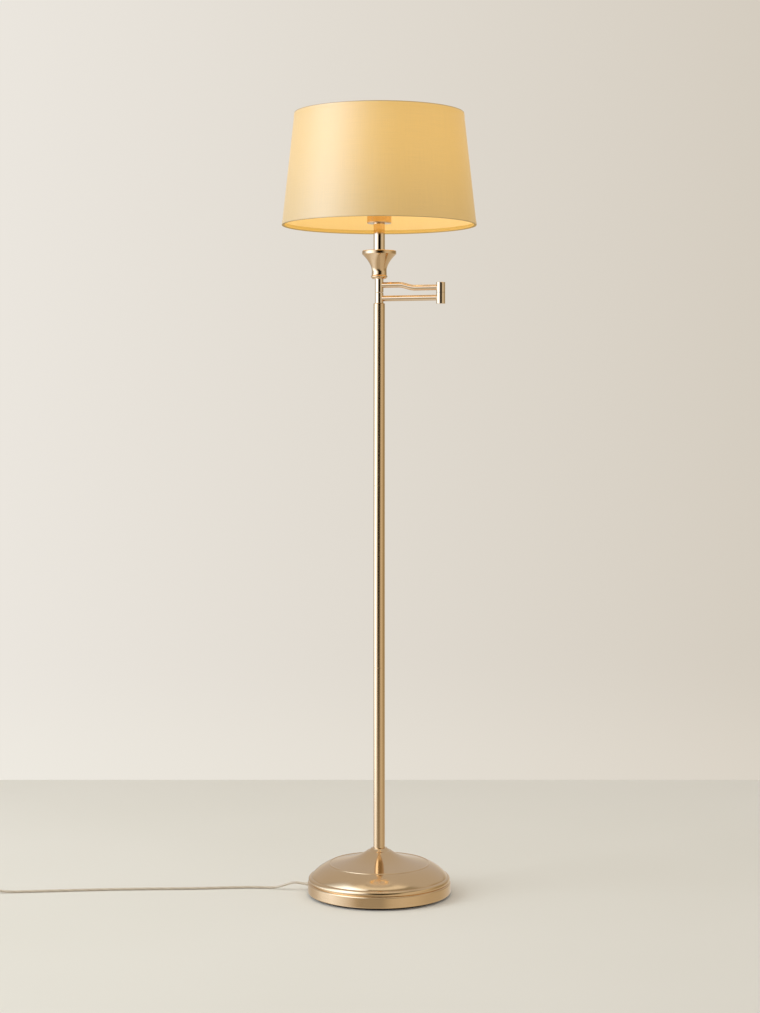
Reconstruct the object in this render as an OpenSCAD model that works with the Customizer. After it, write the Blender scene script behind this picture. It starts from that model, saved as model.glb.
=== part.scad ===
// Floor lamp with a folded swing arm, a domed base and a tapered fabric shade.
// Millimetres. Z is up, the origin is on the floor under the centre of the base,
// and X points to the right when the lamp is seen from its front.

/* [Base] */
// Diameter of the base's upright band
base_d = 272; // [240:1:320]
// Height of the upright band
band_h = 18.4; // [14:0.2:30]
// Thickness of the sheet metal cover
cover_wall = 1.2; // [0.8:0.1:2]
// Radius of the rounded bead above the band
bead_r = 4.9; // [4:0.1:5.4]
// Radius of the raised ring around the flare
ring_r = 95; // [82:1:102]
// Height of the convex shoulder
shoulder_h = 23.6; // [18:0.2:32]
// Height of the flare from the raised ring up to the pole
flare_h = 29.7; // [24:0.1:44]
// Thickness of the foam foot
foot_h = 5.2; // [2:0.2:6]
// How far the foot is set in from the band
foot_inset = 9.5; // [3:0.5:12]
// Thickness of the bottom plate
plate_h = 1.5; // [1:0.1:3]
// Diameter of the cast weight
weight_d = 200; // [160:1:210]
// Thickness of the cast weight
weight_h = 18; // [12:0.5:22]
// Outside diameter of the hollow tie stud
stud_d = 10; // [8:0.5:12]
// Bore of the hollow studs and rods
stud_bore = 7; // [5:0.5:8]
// Compass angle at which the flex leaves the base, from the X axis
flex_az = 170; // [150:1:200]

/* [Pole] */
// Outside diameter of the pole
pole_d = 22; // [20:0.5:28]
// Wall of the pole and stem tubes
tube_wall = 1; // [0.8:0.1:1.5]
// Length of each of the three pole tubes
tube_len = 349.5; // [250:0.5:420]
// Depth of the pole's seat in the cover
seat_depth = 3.5; // [2:0.5:6]
// Length of the sleeves that join the tubes
coupler_len = 40; // [25:1:60]
// Length of the bush in the pole's foot
foot_bush_len = 18; // [12:1:30]
// Length of the bearing bush in the pole's top, without its rim
top_bush_len = 30; // [20:1:45]
// Height of the bush's rim on top of the pole
bush_rim_h = 1.3; // [1:0.1:3]

/* [Swing arm] */
// Distance between the pole's axis and the elbow's axis
arm_len = 122; // [100:1:180]
// Compass angle at which the folded arm stands, from the X axis
arm_az = -16; // [-40:1:40]
// Outside diameter of the arm tubes
rod_d = 11; // [9:0.5:12]
// Wall of the arm tubes
rod_wall = 1; // [0.8:0.1:1.5]
// Diameter of the two hubs on the pole's axis
hub_d = 16.5; // [15.5:0.5:22]
// Height of the lower hub
hub_h = 20; // [17:0.5:26]
// Height of the lower arm's centre line above the foot of the lower hub
rod_rise = 8.8; // [7:0.1:10]
// Outside diameter of the pivot spindle under the lower hub
spindle_d = 9.9; // [9.5:0.1:11]
// Thickness of the friction washers
washer_h = 0.4; // [0.3:0.1:1]
// Diameter of the elbow's knuckles
elbow_d = 17; // [16:0.5:22]
// Height of the lower knuckle
knuckle_low_h = 19.8; // [17:0.2:26]
// Height of the lower arm's centre line above the foot of the lower knuckle
knuckle_low_rise = 10.2; // [9:0.2:11]
// Height of the upper knuckle
knuckle_up_h = 17.8; // [17:0.2:26]
// Height of the upper arm's centre line above the foot of the upper knuckle
knuckle_up_rise = 9.6; // [8:0.2:9.8]
// Thickness of the elbow's end caps
cap_h = 1.6; // [1:0.1:3]
// Diameter of the elbow's hollow pin
pin_d = 8; // [6.5:0.1:8]
// Height of the double bend in the upper arm
bend_h = 6.2; // [5.6:0.1:6.8]
// Length of the double bend along the arm
bend_run = 36; // [34:1:38]
// Distance from the pole's axis to the double bend
bend_start = 37; // [20:1:45]

/* [Head] */
// Height of the upper hub
head_hub_h = 26; // [23:0.5:34]
// Gap between the folded hubs
hub_gap = 0.5; // [0.4:0.1:2]
// Diameter of the trumpet cup's rim
cup_d = 66; // [50:1:90]
// Diameter of the trumpet cup's neck
cup_neck_d = 28.6; // [27:0.2:32]
// Diameter of the bead under the neck
cup_bead_d = 32; // [30:0.5:40]
// Height of the trumpet cup
cup_h = 54; // [46:0.5:70]
// Wall of the trumpet cup's flare
cup_wall = 1.5; // [1:0.1:2]
// Height of the cup's solid foot, on which the stem stands
cup_floor = 15.5; // [12:0.5:20]
// Length of the stem tube
stem_len = 91; // [70:1:140]
// Diameter of the cup around the lampholder
holder_cup_d = 47; // [44:0.5:60]
// Height of the cup around the lampholder
holder_cup_h = 34; // [30:0.5:40]
// Diameter of the lampholder's threaded sleeve
holder_d = 39.2; // [38:0.1:40]
// Height of the lampholder
holder_h = 50; // [46:0.5:60]
// Diameter of the bulb
bulb_d = 60; // [45:1:80]
// Length of the bulb with its cap
bulb_len = 108; // [95:1:130]
// Diameter of the bulb's screw cap
bulb_cap_d = 26.4; // [25:0.1:26.8]

/* [Shade] */
// Diameter of the shade's lower edge
shade_low_d = 374; // [300:1:450]
// Diameter of the shade's upper edge
shade_top_d = 326; // [260:1:400]
// Height of the shade
shade_h = 215.5; // [160:0.5:280]
// Thickness of the shade's cloth
cloth_t = 0.8; // [0.5:0.1:1.5]
// Thickness of the shade's stiff lining
lining_t = 0.5; // [0.3:0.1:1]
// Glue between the cloth and its backing
glue_t = 0.1; // [0.1:0.05:0.3]
// Diameter of the shade's wires
wire_d = 3; // [2:0.2:4]
// Depth from the shade's fitting down to its lower edge
shade_drop = 41.7; // [30:0.1:60]
// Height of each of the two ring nuts that hold the shade
ring_nut_h = 4; // [3:0.5:7]
// Thickness of the fitting's centre ring
fitting_h = 1.5; // [1:0.1:3]

/* [Flex, switch and plug] */
// Diameter of the mains flex
flex_d = 4.6; // [4:0.1:5.5]
// Diameter of the wires inside the arm
wire_core_d = 3.2; // [2:0.1:3.4]
// Length of the foot switch
switch_len = 75; // [70:1:75]
// Width of the foot switch
switch_w = 38; // [36:1:42]
// Height of the foot switch's housing
switch_h = 20; // [18:0.5:24]
// Wall of the foot switch's housing
switch_wall = 2; // [1.5:0.1:2.5]
// Diameter of the foot switch's button
button_d = 22; // [18:0.5:23]
// Height of the button above the housing
button_rise = 4; // [3.5:0.1:7]
// Travel of the button
button_travel = 3; // [2:0.1:3]
// Width of the plug
plug_w = 35; // [34:0.5:38]
// Thickness of the plug
plug_t = 13.6; // [13:0.2:14]
// Length of the plug's body
plug_len = 36; // [32:0.5:40]
// Diameter of the plug's pins
plug_pin_d = 4; // [3.8:0.1:4.2]
// Length of the plug's pins
plug_pin_len = 19; // [17:0.5:20]
// Distance between the plug's pins
plug_pin_gap = 18.6; // [18:0.1:19]

/* [Hidden] */
$fn = 96;

// Clearances: parts that are fixed in each other, running fits and cut overrun
fit = 0.05;
run = 0.05;
cut = 1;

// Colours
BRASS = [0.72, 0.58, 0.42];
BRIGHT = [0.84, 0.70, 0.50];
STEEL = [0.68, 0.68, 0.70];
IRON = [0.26, 0.26, 0.27];
BLACK = [0.05, 0.05, 0.05];
CREAM = [0.95, 0.85, 0.66];
FLEX = [0.86, 0.78, 0.62];
GOLD_PLASTIC = [0.80, 0.68, 0.46];

// Heights of the base's parts
base_r = base_d / 2;
band_top = foot_h + band_h;
lip = 0.6;                              // small chamfer on the band's edges
groove_w = 0.9;                         // width of the groove above the band
bead_x = base_r - 1.2 - bead_r;
bead_z = band_top + groove_w - 0.2 + bead_r;
dome_r = bead_x - 0.5;
dome_z = bead_z + bead_r - 0.2;
ring_z = dome_z + shoulder_h;
ring_bead_r = 1.6;
cover_top = ring_z + ring_bead_r + flare_h;
collar = 3.4;                           // width of the cover's rim around the pole
seat_z = cover_top - seat_depth;
seat_under = seat_z - 1.5;
weight_z = foot_h + plate_h;
weight_top = weight_z + weight_h;
service_r = 17;                         // hole in the foot and plate for a spanner
nut_pocket_r = 14;
nut_pocket_h = 9;
nut_flange_h = 1.5;
nut_h = 7;
stud_r = stud_d / 2;
stud_tail = 1;                          // stud below its nut
spacer_wall = 3;
window_w = 6.6;                         // slot through which the flex enters the stud
window_z = 34;
window_h = 22;

// Heights of the pole's parts
pole_r = pole_d / 2;
pole_in = pole_r - tube_wall;
pole_top = seat_z + 3 * tube_len;
pivot_z = pole_top + bush_rim_h;
hub_z = pivot_z + washer_h;
spindle_r = spindle_d / 2;
spindle_bore_r = 3.2;
spindle_nut_h = 5;
spindle_foot = pole_top - top_bush_len - spindle_nut_h - 1.5;
washer_r = hub_d / 2 - 0.25;

// Places along and above the arm
rod_r = rod_d / 2;
rod_in = rod_r - rod_wall;
rod_z = hub_z + rod_rise;
hub_top = hub_z + hub_h;
hub_r = hub_d / 2;
tube_stop = 4;                          // distance of an arm tube's end from its hub's axis
elbow_r = elbow_d / 2;
knuckle_low_z = rod_z - knuckle_low_rise;
knuckle_low_top = knuckle_low_z + knuckle_low_h;
knuckle_up_z = knuckle_low_top + washer_h;
knuckle_up_top = knuckle_up_z + knuckle_up_h;
elbow_stop = arm_len - pin_d / 2 - 0.6; // place of the arm tubes' ends in the knuckles
pin_r = pin_d / 2;
pin_bore_r = 2.5;
pin_head_r = 6;
pin_head_h = 2;
elbow_nut_h = 2.3;
elbow_nut_d = 11.5;                     // across the corners
up_rod_z = knuckle_up_z + knuckle_up_rise;
head_rod_z = up_rod_z + bend_h;
head_hub_z = hub_top + hub_gap;
// The middle of the double bend falls 7 in 24, so its sine is 0.28 and its cosine 0.96
bend_angle = atan2(7, 24);
bend_r = (0.28 * bend_run - 0.96 * bend_h) / 0.08;
bend_straight = (bend_run - 0.56 * bend_r) / 0.96;
bend_mid = bend_start + bend_run / 2;
core_r = wire_core_d / 2;
core_drop = rod_in - core_r - 0.2;      // the wires lie on the tube's floor

// Heights of the head's parts
cup_z = head_hub_z + head_hub_h;
cup_r = cup_d / 2;
neck_r = cup_neck_d / 2;
cup_bead_r = cup_bead_d / 2;
flare_z = 14.5;                         // the cup's flare starts this far above its foot
rim_h = 6.5;                            // height of the cup's upright rim
stem_z = cup_z + cup_floor;
holder_cup_z = stem_z + stem_len;
holder_cup_wall = 1.5;
holder_nut_h = 4;
holder_z = holder_cup_z + holder_cup_wall + holder_nut_h;
rod_in_hub = 5.7;                       // depth of the rod's thread in the upper hub
rod_in_holder = 8;
holder_bore_r = 13.8;
holder_floor = 18;
contact_h = 1.5;
bulb_z = holder_z + holder_floor + contact_h;
bulb_cap_h = 26;
ring_nut_r = holder_cup_d / 2 + 1.5;
ring_nut_z = holder_cup_z + holder_cup_h;
fitting_z = ring_nut_z + ring_nut_h;
shade_z = fitting_z - shade_drop;
wire_r = wire_d / 2;
wire_inset = wire_r + 0.2;              // height of a shade wire inside its edge
skin_t = cloth_t + glue_t + lining_t;

// The flex's routes. Its free points are chosen by hand, in millimetres.
flex_r = flex_d / 2;
exit_z = foot_h + 7.8;
relief_tip = base_r + 9;
exit_point = [-142.8, 25.2, 13];
run_points = [
    exit_point, [-148, 26.1, 13.2], [-154, 27.2, 14.1], [-161, 28.6, 14.6],
    [-168, 30.1, 13.8], [-175, 31.7, 11.9], [-183, 33.5, 9], [-191, 35.3, 6.2],
    [-200, 37.2, 3.8], [-211, 39.3, 2.6], [-224, 41, 2.4], [-250, 42.6, 2.4],
    [-280, 41, 2.4], [-320, 37, 2.4], [-360, 33.6, 2.4], [-400, 31.4, 2.4],
    [-440, 29.8, 2.4], [-480, 27.8, 2.4], [-520, 25, 2.4], [-560, 21.2, 2.4],
    [-600, 16.8, 2.4], [-640, 12.2, 2.4], [-670, 9, 2.4], [-698, 6.2, 2.4],
    [-712, 5, 2.6], [-724, 4.1, 3.6], [-735, 3.3, 5], [-745, 2.6, 6.3],
    [-754, 2.2, 6.9], [-762, 2, 7], [-774, 2, 7], [-786, 2, 7]
];
run_steps = 2;
switch_at = [-812.5, 2, 0];
switch_cord_z = 7;
coil_at = [-900, -32.4];
coil_turns = 6.25;
coil_in = 18.5;
coil_gap = 0.5;
coil_pitch = flex_d + coil_gap;
coil_out = coil_in + coil_pitch * coil_turns / 2;
coil_z = flex_r + 0.65;
coil_climb = 0.5;                       // part of a turn in which the coil changes layer
coil_first_angle = 90;
loop_rings = 24;
lead_points = [
    [-839, 2, 7], [-850, 2, 7], [-862, 2, 7], [-870, 2, 6.95], [-876, 2, 6.4],
    [-882, 2, 5.1], [-888, 2, 3.8], [-892, 2, 3.1], [-895.4, 2, 2.95]
];
tail_points = [
    [-934.4, -37, 8.05], [-934.4, -46, 8], [-934.4, -56, 7.3], [-934.4, -66, 6.8], [-934.4, -78, 6.8]
];
plug_at = [-934.4, -128, 6.8];
plug_relief_len = 22;
tie_w = 12;
tie_t = 0.6;

// Foot switch
switch_part_z = switch_cord_z;
switch_gland_len = 20;
button_r = button_d / 2;
button_flange = 1.2;
button_flange_h = 3.7;
button_z = switch_h - switch_wall - button_flange_h;
spring_turns = 3.5;
spring_r = 6;
spring_wire_r = 0.4;
spring_closed = 2 * spring_wire_r * spring_turns + 0.5;
block_r = 9;
block_top = button_z - button_travel - spring_closed;
screw_places = [[-22, 10.5], [22, -10.5]];
screw_r = 1.5;
screw_head_r = 2.8;
screw_head_h = 2.1;
pillar_r = 3.5;

// Outlines and routes

function arc(x, z, r, a0, a1, n) =
    [for (i = [0:n]) let (a = a0 + (a1 - a0) * i / n) [x + r * cos(a), z + r * sin(a)]];

// A concave flare that falls steeply from its top and then in a straight slope. The share
// is the slope's part of the whole fall.
function flare(top, foot, share, power, n) =
    [for (i = [0:n]) let (t = i / n)
        [top.x + (foot.x - top.x) * t,
         foot.y + (top.y - foot.y) * (share * (1 - t) + (1 - share) * pow(1 - t, power))]];

// A convex shoulder, a quarter of a superellipse from its flat top to its upright foot
function shoulder(top, foot, power, n) =
    [for (i = [0:n]) let (a = 90 * i / n)
        [top.x + (foot.x - top.x) * pow(sin(a), 2 / power),
         foot.y + (top.y - foot.y) * pow(cos(a), 2 / power)]];

function reversed(p) = [for (i = [len(p) - 1:-1:0]) p[i]];
function unit(v) = v / norm(v);

// A smooth line through the points, with so many steps from each to the next
function between(a, b, c, d, t) =
    0.5 * (2 * b + (c - a) * t + (2 * a - 5 * b + 4 * c - d) * t * t
        + (3 * b - a - 3 * c + d) * t * t * t);
function smooth_line(p, steps) = let (last = len(p) - 1)
    [for (i = [0:last - 1], k = [0:steps - 1])
        between(p[max(i - 1, 0)], p[i], p[i + 1], p[min(i + 2, last)], k / steps),
     p[last]];

function heading(p, i) = unit(p[min(i + 1, len(p) - 1)] - p[max(i - 1, 0)]);
function ring_points(centre, ahead, up, r, sides) =
    let (across = unit(cross(ahead, up)), over = cross(across, ahead))
    [for (k = [0:sides - 1]) let (a = 360 * k / sides)
        centre + r * (cos(a) * across + sin(a) * over)];

// One tube swept along the points, closed by flat ends, all in triangles
module swept_tube(p, r, sides, up) {
    n = len(p);
    points = [for (i = [0:n - 1]) each ring_points(p[i], heading(p, i), up, r, sides)];
    walls = [for (i = [0:n - 2], k = [0:sides - 1])
        let (a = i * sides + k, b = i * sides + (k + 1) % sides)
        each [[a, b, b + sides], [a, b + sides, a + sides]]];
    first = [for (k = [1:sides - 2]) [0, k + 1, k]];
    end = (n - 1) * sides;
    last = [for (k = [1:sides - 2]) [end, end + k, end + k + 1]];
    polyhedron(points = points, faces = concat(walls, first, last));
}

module lathe(outline) rotate_extrude() polygon(outline);

module ring(outer_r, inner_r, z, h)
    translate([0, 0, z]) difference() {
        cylinder(r = outer_r, h = h);
        translate([0, 0, -cut]) cylinder(r = inner_r, h = h + 2 * cut);
    }

// A hexagonal nut with a round bore, its size taken across the corners
module hex_nut(corners, bore_r, z, h)
    translate([0, 0, z]) difference() {
        cylinder(d = corners, h = h, $fn = 6);
        translate([0, 0, -cut]) cylinder(r = bore_r, h = h + 2 * cut);
    }

// Base

ring_line = arc(ring_r, ring_z - 0.5, ring_bead_r, 125, 35, 6);
trumpet_line = flare([pole_r + collar, cover_top], ring_line[0], 0.55, 4, 20);
shoulder_top = [ring_r + ring_bead_r, ring_z];
shoulder_power = 1.3;

module base_cover() {
    outside = concat(
        [[0, cover_top]], trumpet_line, [for (i = [1:6]) ring_line[i]],
        shoulder(shoulder_top, [dome_r, dome_z], shoulder_power, 14),
        arc(bead_x, bead_z, bead_r, 90, -55, 10),
        [[base_r - 2.9, band_top + groove_w], [base_r - lip, band_top], [base_r, band_top - lip],
         [base_r, foot_h + lip], [base_r - lip, foot_h], [0, foot_h]]);
    wall_in = base_r - cover_wall;
    inside = concat(
        [[0, foot_h - cut], [wall_in, foot_h - cut], [wall_in, band_top - cover_wall],
         [dome_r - cover_wall, band_top]],
        reversed(shoulder([shoulder_top.x, ring_z - cover_wall],
            [dome_r - cover_wall, dome_z - cover_wall], shoulder_power, 14)),
        [for (p = reversed(trumpet_line)) [p.x, min(p.y - 1.5 * cover_wall, seat_under)]],
        [[0, seat_under]]);
    color(BRASS) difference() {
        lathe(outside);
        lathe(inside);
        translate([0, 0, seat_z]) cylinder(r = pole_r + fit, h = seat_depth + cut);
        cylinder(r = stud_r + fit, h = cover_top + cut);
        rotate([0, 0, flex_az]) translate([base_r - 10, 0, exit_z]) rotate([0, 90, 0])
            cylinder(r = 3.8 + fit, h = 20);
    }
}

module base_foot_pad() color(BLACK) ring(base_r - foot_inset, service_r, 0, foot_h);

module base_plate() color(STEEL) ring(base_r - cover_wall - 2 * fit, service_r, foot_h, plate_h);

module base_weight() {
    r = weight_d / 2;
    color(IRON) difference() {
        lathe([[0, weight_z], [r - 1, weight_z], [r, weight_z + 1], [r, weight_top - 2],
               [r - 2, weight_top], [0, weight_top]]);
        translate([0, 0, weight_z - cut]) {
            cylinder(r = stud_r + fit, h = weight_h + 2 * cut);
            cylinder(r = nut_pocket_r, h = nut_pocket_h + cut);
        }
    }
}

nut_top = weight_z + nut_pocket_h;
stud_z = nut_top - nut_h - stud_tail;

// The slot through which the flex goes in to the stud's bore
module flex_window(r)
    rotate([0, 0, flex_az]) translate([0, -window_w / 2, window_z])
        cube([r + cut, window_w, window_h]);

module base_stud() {
    top = seat_z + foot_bush_len + 9;
    color(STEEL) difference() {
        ring(stud_r, stud_bore / 2, stud_z, top - stud_z);
        flex_window(stud_r);
    }
}

module base_spacer() color(STEEL) difference() {
    ring(stud_r + spacer_wall, stud_r + fit, weight_top, seat_under - weight_top);
    flex_window(stud_r + spacer_wall);
}

module base_nut() color(STEEL) {
    hex_nut(19.6, stud_r + fit, nut_top - nut_h, nut_h - nut_flange_h);
    ring(11, stud_r + fit, nut_top - nut_flange_h, nut_flange_h);
}

// The bush through which the flex leaves the base, tapered on both sides of the wall
module cord_grommet() {
    wall_in = base_r - cover_wall;
    outline = [
        [flex_r + fit, wall_in - 12], [3, wall_in - 12], [3.6, wall_in - 1.6], [4.8, wall_in - 1.6],
        [4.8, wall_in - 0.2], [3.8, wall_in - 0.2], [3.8, base_r], [4.8, base_r],
        [4.8, base_r + 1.2], [4.1, base_r + 1.6], [2.9, relief_tip], [flex_r + fit, relief_tip]];
    color(FLEX) rotate([0, 0, flex_az]) translate([0, 0, exit_z]) rotate([0, 90, 0]) lathe(outline);
}

// The flex from its exit over the weight, in to the stud and up the pole
module flex_in_pole() {
    side = [cos(flex_az), sin(flex_az), 0];
    outline = [
        [relief_tip, exit_z], [base_r - 14, exit_z], [base_r - 22, exit_z + 2.6],
        [base_r - 30, exit_z + 9.4], [base_r - 38, exit_z + 16], [base_r - 50, exit_z + 20],
        [60, exit_z + 22], [34, exit_z + 24], [18, exit_z + 26], [9, exit_z + 28.4],
        [4, exit_z + 31.4], [1.1, exit_z + 36], [0.6, exit_z + 46], [0.6, exit_z + 60],
        [0.6, pole_top - top_bush_len - 60], [0.6, spindle_foot - 2]];
    route = [for (q = outline) side * q.x + [0, 0, q.y]];
    color(FLEX) swept_tube(route, flex_r, 10, cross(side, [0, 0, 1]));
}

// Pole

module pole_tube(place) color(BRASS)
    ring(pole_r, pole_in, seat_z + place * tube_len, tube_len);
module pole_tube_lower() pole_tube(0);
module pole_tube_middle() pole_tube(1);
module pole_tube_upper() pole_tube(2);

module pole_foot_bush() color(STEEL) ring(pole_in - fit, stud_r + fit, seat_z, foot_bush_len);

module pole_couplers() color(STEEL)
    for (place = [1, 2])
        ring(pole_in - fit, pole_in - 4, seat_z + place * tube_len - coupler_len / 2, coupler_len);

module pole_top_bush() color(BRIGHT) difference() {
    lathe([[0, pole_top - top_bush_len], [pole_in - fit, pole_top - top_bush_len],
           [pole_in - fit, pole_top], [pole_r, pole_top], [pole_r, pivot_z - 0.8],
           [pole_r - 0.8, pivot_z], [0, pivot_z]]);
    translate([0, 0, pole_top - top_bush_len - cut])
        cylinder(r = spindle_r + run, h = top_bush_len + bush_rim_h + 2 * cut);
}

module pivot_washer() color(BLACK) ring(washer_r, spindle_r + run, pivot_z, washer_h);

// Swing arm. X runs along the folded arm, from the pole's axis to the elbow's.

module along_arm() rotate([0, 0, arm_az]) children();

// A straight round bar along the arm
module bar(r, x0, x1, z) translate([x0, 0, z]) rotate([0, 90, 0]) cylinder(r = r, h = x1 - x0);

module lower_hub() color(BRIGHT) along_arm() difference() {
    lathe([[0, spindle_foot], [spindle_r, spindle_foot], [spindle_r, hub_z], [hub_r, hub_z],
           [hub_r, hub_top - 0.5], [hub_r - 0.5, hub_top], [0, hub_top]]);
    translate([0, 0, spindle_foot - cut])
        cylinder(r = spindle_bore_r, h = rod_z + rod_in - spindle_foot + cut);
    bar(rod_r + fit, tube_stop, hub_r + cut, rod_z);
    bar(rod_in, 0, tube_stop + cut, rod_z);
}

module spindle_nut() color(STEEL)
    hex_nut(17, spindle_r + fit, pole_top - top_bush_len - spindle_nut_h, spindle_nut_h);

module lower_arm_tube() color(BRIGHT) along_arm() difference() {
    bar(rod_r, tube_stop, elbow_stop, rod_z);
    bar(rod_in, tube_stop - cut, elbow_stop + cut, rod_z);
}

// The wires: up the spindle, along the lower arm and up the elbow's pin
module flex_lower_arm() {
    z = rod_z - core_drop;
    hub_x = -(spindle_bore_r - core_r - 0.2);
    color(FLEX) along_arm() {
        bar(core_r, hub_x, arm_len, z);
        translate([hub_x, 0, spindle_foot + 1]) cylinder(r = core_r, h = z - spindle_foot - 1);
        translate([hub_x, 0, z]) sphere(r = core_r);
        translate([arm_len, 0, z]) sphere(r = core_r);
        translate([arm_len, 0, z]) cylinder(r = core_r, h = knuckle_up_top - 6 - z);
    }
}

module at_elbow() along_arm() translate([arm_len, 0, 0]) children();

module elbow_knuckle_lower() color(BRIGHT) at_elbow() difference() {
    translate([0, 0, knuckle_low_z]) cylinder(r = elbow_r, h = knuckle_low_h);
    translate([0, 0, knuckle_low_z - cut]) cylinder(r = pin_r + fit, h = knuckle_low_h + 2 * cut);
    translate([0, 0, knuckle_low_z - cut]) cylinder(r = pin_head_r + fit, h = pin_head_h + cut);
    bar(rod_r + fit, -elbow_r - cut, elbow_stop - arm_len, rod_z);
    bar(rod_in - fit, elbow_stop - arm_len - cut, 0, rod_z);
}

module elbow_pin() color(STEEL) at_elbow() difference() {
    union() {
        translate([0, 0, knuckle_low_z]) cylinder(r = pin_head_r, h = pin_head_h);
        translate([0, 0, knuckle_low_z]) cylinder(r = pin_r, h = knuckle_up_top - 0.2 - knuckle_low_z);
    }
    translate([0, 0, knuckle_low_z - cut])
        cylinder(r = pin_bore_r, h = knuckle_up_top - knuckle_low_z + 2 * cut);
    // slot for the wires that come out of the lower arm
    translate([-pin_r - cut, -core_r - 0.4, rod_z - core_drop - core_r - 0.4])
        cube([pin_r + cut, wire_core_d + 0.8, wire_core_d + 0.8]);
}

module elbow_cap(z, over) {
    edge = 0.5;
    rim = elbow_r + 0.2;
    color(BRIGHT) at_elbow() translate([0, 0, z]) mirror([0, 0, over ? 0 : 1])
        lathe([[0, 0], [rim, 0], [rim, cap_h - edge], [rim - edge, cap_h], [0, cap_h]]);
}
module elbow_cap_lower() elbow_cap(knuckle_low_z, false);
module elbow_cap_upper() elbow_cap(knuckle_up_top, true);

module elbow_washer() color(BLACK) at_elbow()
    ring(elbow_r - 0.25, pin_r + run, knuckle_low_top, washer_h);

module elbow_nut() color(STEEL) at_elbow()
    hex_nut(elbow_nut_d, pin_r + fit, knuckle_up_top - 0.2 - elbow_nut_h, elbow_nut_h);

module elbow_knuckle_upper() color(BRIGHT) at_elbow() difference() {
    translate([0, 0, knuckle_up_z]) cylinder(r = elbow_r, h = knuckle_up_h);
    translate([0, 0, knuckle_up_z - cut]) cylinder(r = pin_r + run, h = knuckle_up_h + 2 * cut);
    translate([0, 0, knuckle_up_top - 0.2 - elbow_nut_h])
        cylinder(r = elbow_nut_d / 2 + 0.5, h = elbow_nut_h + cut);
    bar(rod_r + fit, -elbow_r - cut, elbow_stop - arm_len, up_rod_z);
    bar(rod_in - fit, elbow_stop - arm_len - cut, 0, up_rod_z);
}

// The upper arm's line, with a round section, lowered square to itself by drop.
// Its halves are alike, and meet in the middle of the double bend.
module half_arm(r, reach, drop) {
    rotate([0, bend_angle, 0]) {
        bar_x = -bend_straight / 2;
        bar(r, bar_x, 0, -drop);
        translate([bar_x, 0, -bend_r]) rotate([90, 0, 0]) intersection() {
            rotate_extrude() translate([bend_r - drop, 0]) circle(r);
            translate([0, 0, -2 * r]) linear_extrude(4 * r) polygon([[0, 0], [0, 100], [-28, 96]]);
        }
    }
    bar(r, -reach, -bend_run / 2, bend_h / 2 - drop);
}

module bent_bar(r, x0, x1, drop) translate([bend_mid, 0, head_rod_z - bend_h / 2]) {
    half_arm(r, bend_mid - x0, drop);
    rotate([0, 180, 0]) half_arm(r, x1 - bend_mid, -drop);
}

module upper_arm_tube() color(BRIGHT) along_arm() difference() {
    bent_bar(rod_r, tube_stop, elbow_stop, 0);
    bent_bar(rod_in, tube_stop - cut, elbow_stop + cut, 0);
}

// The wires: along the upper arm, in to the hub and up the rod
module flex_upper_arm() {
    hub_x = -(stud_bore / 2 - core_r - 0.2);
    z = head_rod_z - core_drop;
    color(FLEX) along_arm() {
        bent_bar(core_r, hub_x, elbow_stop - 0.2, core_drop);
        translate([hub_x, 0, z]) sphere(r = core_r);
        translate([hub_x, 0, z]) cylinder(r = core_r, h = holder_z + rod_in_holder - z - 0.5);
    }
}

// Head

module head_hub() color(BRIGHT) along_arm() difference() {
    lathe([[0, head_hub_z], [hub_r - 0.5, head_hub_z], [hub_r, head_hub_z + 0.5],
           [hub_r, cup_z], [0, cup_z]]);
    translate([0, 0, head_rod_z - rod_in]) cylinder(r = stud_bore / 2, h = head_hub_h);
    translate([0, 0, cup_z - rod_in_hub]) cylinder(r = stud_r + fit, h = rod_in_hub + cut);
    bar(rod_r + fit, tube_stop, hub_r + cut, head_rod_z);
    bar(rod_in, 0, tube_stop + cut, head_rod_z);
}

module head_rod() color(STEEL) {
    foot = cup_z - rod_in_hub;
    ring(stud_r, stud_bore / 2, foot, holder_z + rod_in_holder - foot);
}

module trumpet_cup() {
    flare_top = cup_h - rim_h;
    flare_rise = flare_top - flare_z;
    outer_flare = [for (i = [0:14]) let (t = i / 14)
        [neck_r + (cup_r - neck_r) * pow(t, 1.9), cup_z + flare_z + flare_rise * t]];
    well_r = max(pole_r + fit, neck_r - cup_wall);
    inner_flare = [for (p = reversed(outer_flare))
        [max(well_r, p.x - cup_wall), max(p.y + 0.6 * cup_wall, cup_z + cup_floor)]];
    outside = concat(
        [[stud_r + fit, cup_z], [cup_bead_r - 3, cup_z]],
        arc(cup_bead_r - 3, cup_z + 4.5, 3, -60, 60, 8),
        [[neck_r + 0.3, cup_z + 8.4]],
        outer_flare,
        [[cup_r, cup_z + cup_h - 1], [cup_r - 0.6, cup_z + cup_h], [cup_r - cup_wall, cup_z + cup_h]]);
    inside = concat(inner_flare, [[well_r, cup_z + cup_floor], [stud_r + fit, cup_z + cup_floor]]);
    color(BRASS) lathe(concat(outside, inside));
}

module stem_tube() color(BRIGHT) ring(pole_r, pole_in, stem_z, stem_len);

module holder_cup() {
    r = holder_cup_d / 2;
    round_r = 2;
    color(BRASS) lathe(concat(
        [[stud_r + fit, holder_cup_z]],
        arc(r - round_r, holder_cup_z + round_r, round_r, -90, 0, 5),
        [[r, ring_nut_z], [r - 1, ring_nut_z], [r - 1, holder_cup_z + holder_cup_wall],
         [stud_r + fit, holder_cup_z + holder_cup_wall]]));
}

module holder_nut() color(STEEL)
    hex_nut(19.6, stud_r + fit, holder_cup_z + holder_cup_wall, holder_nut_h);

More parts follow.
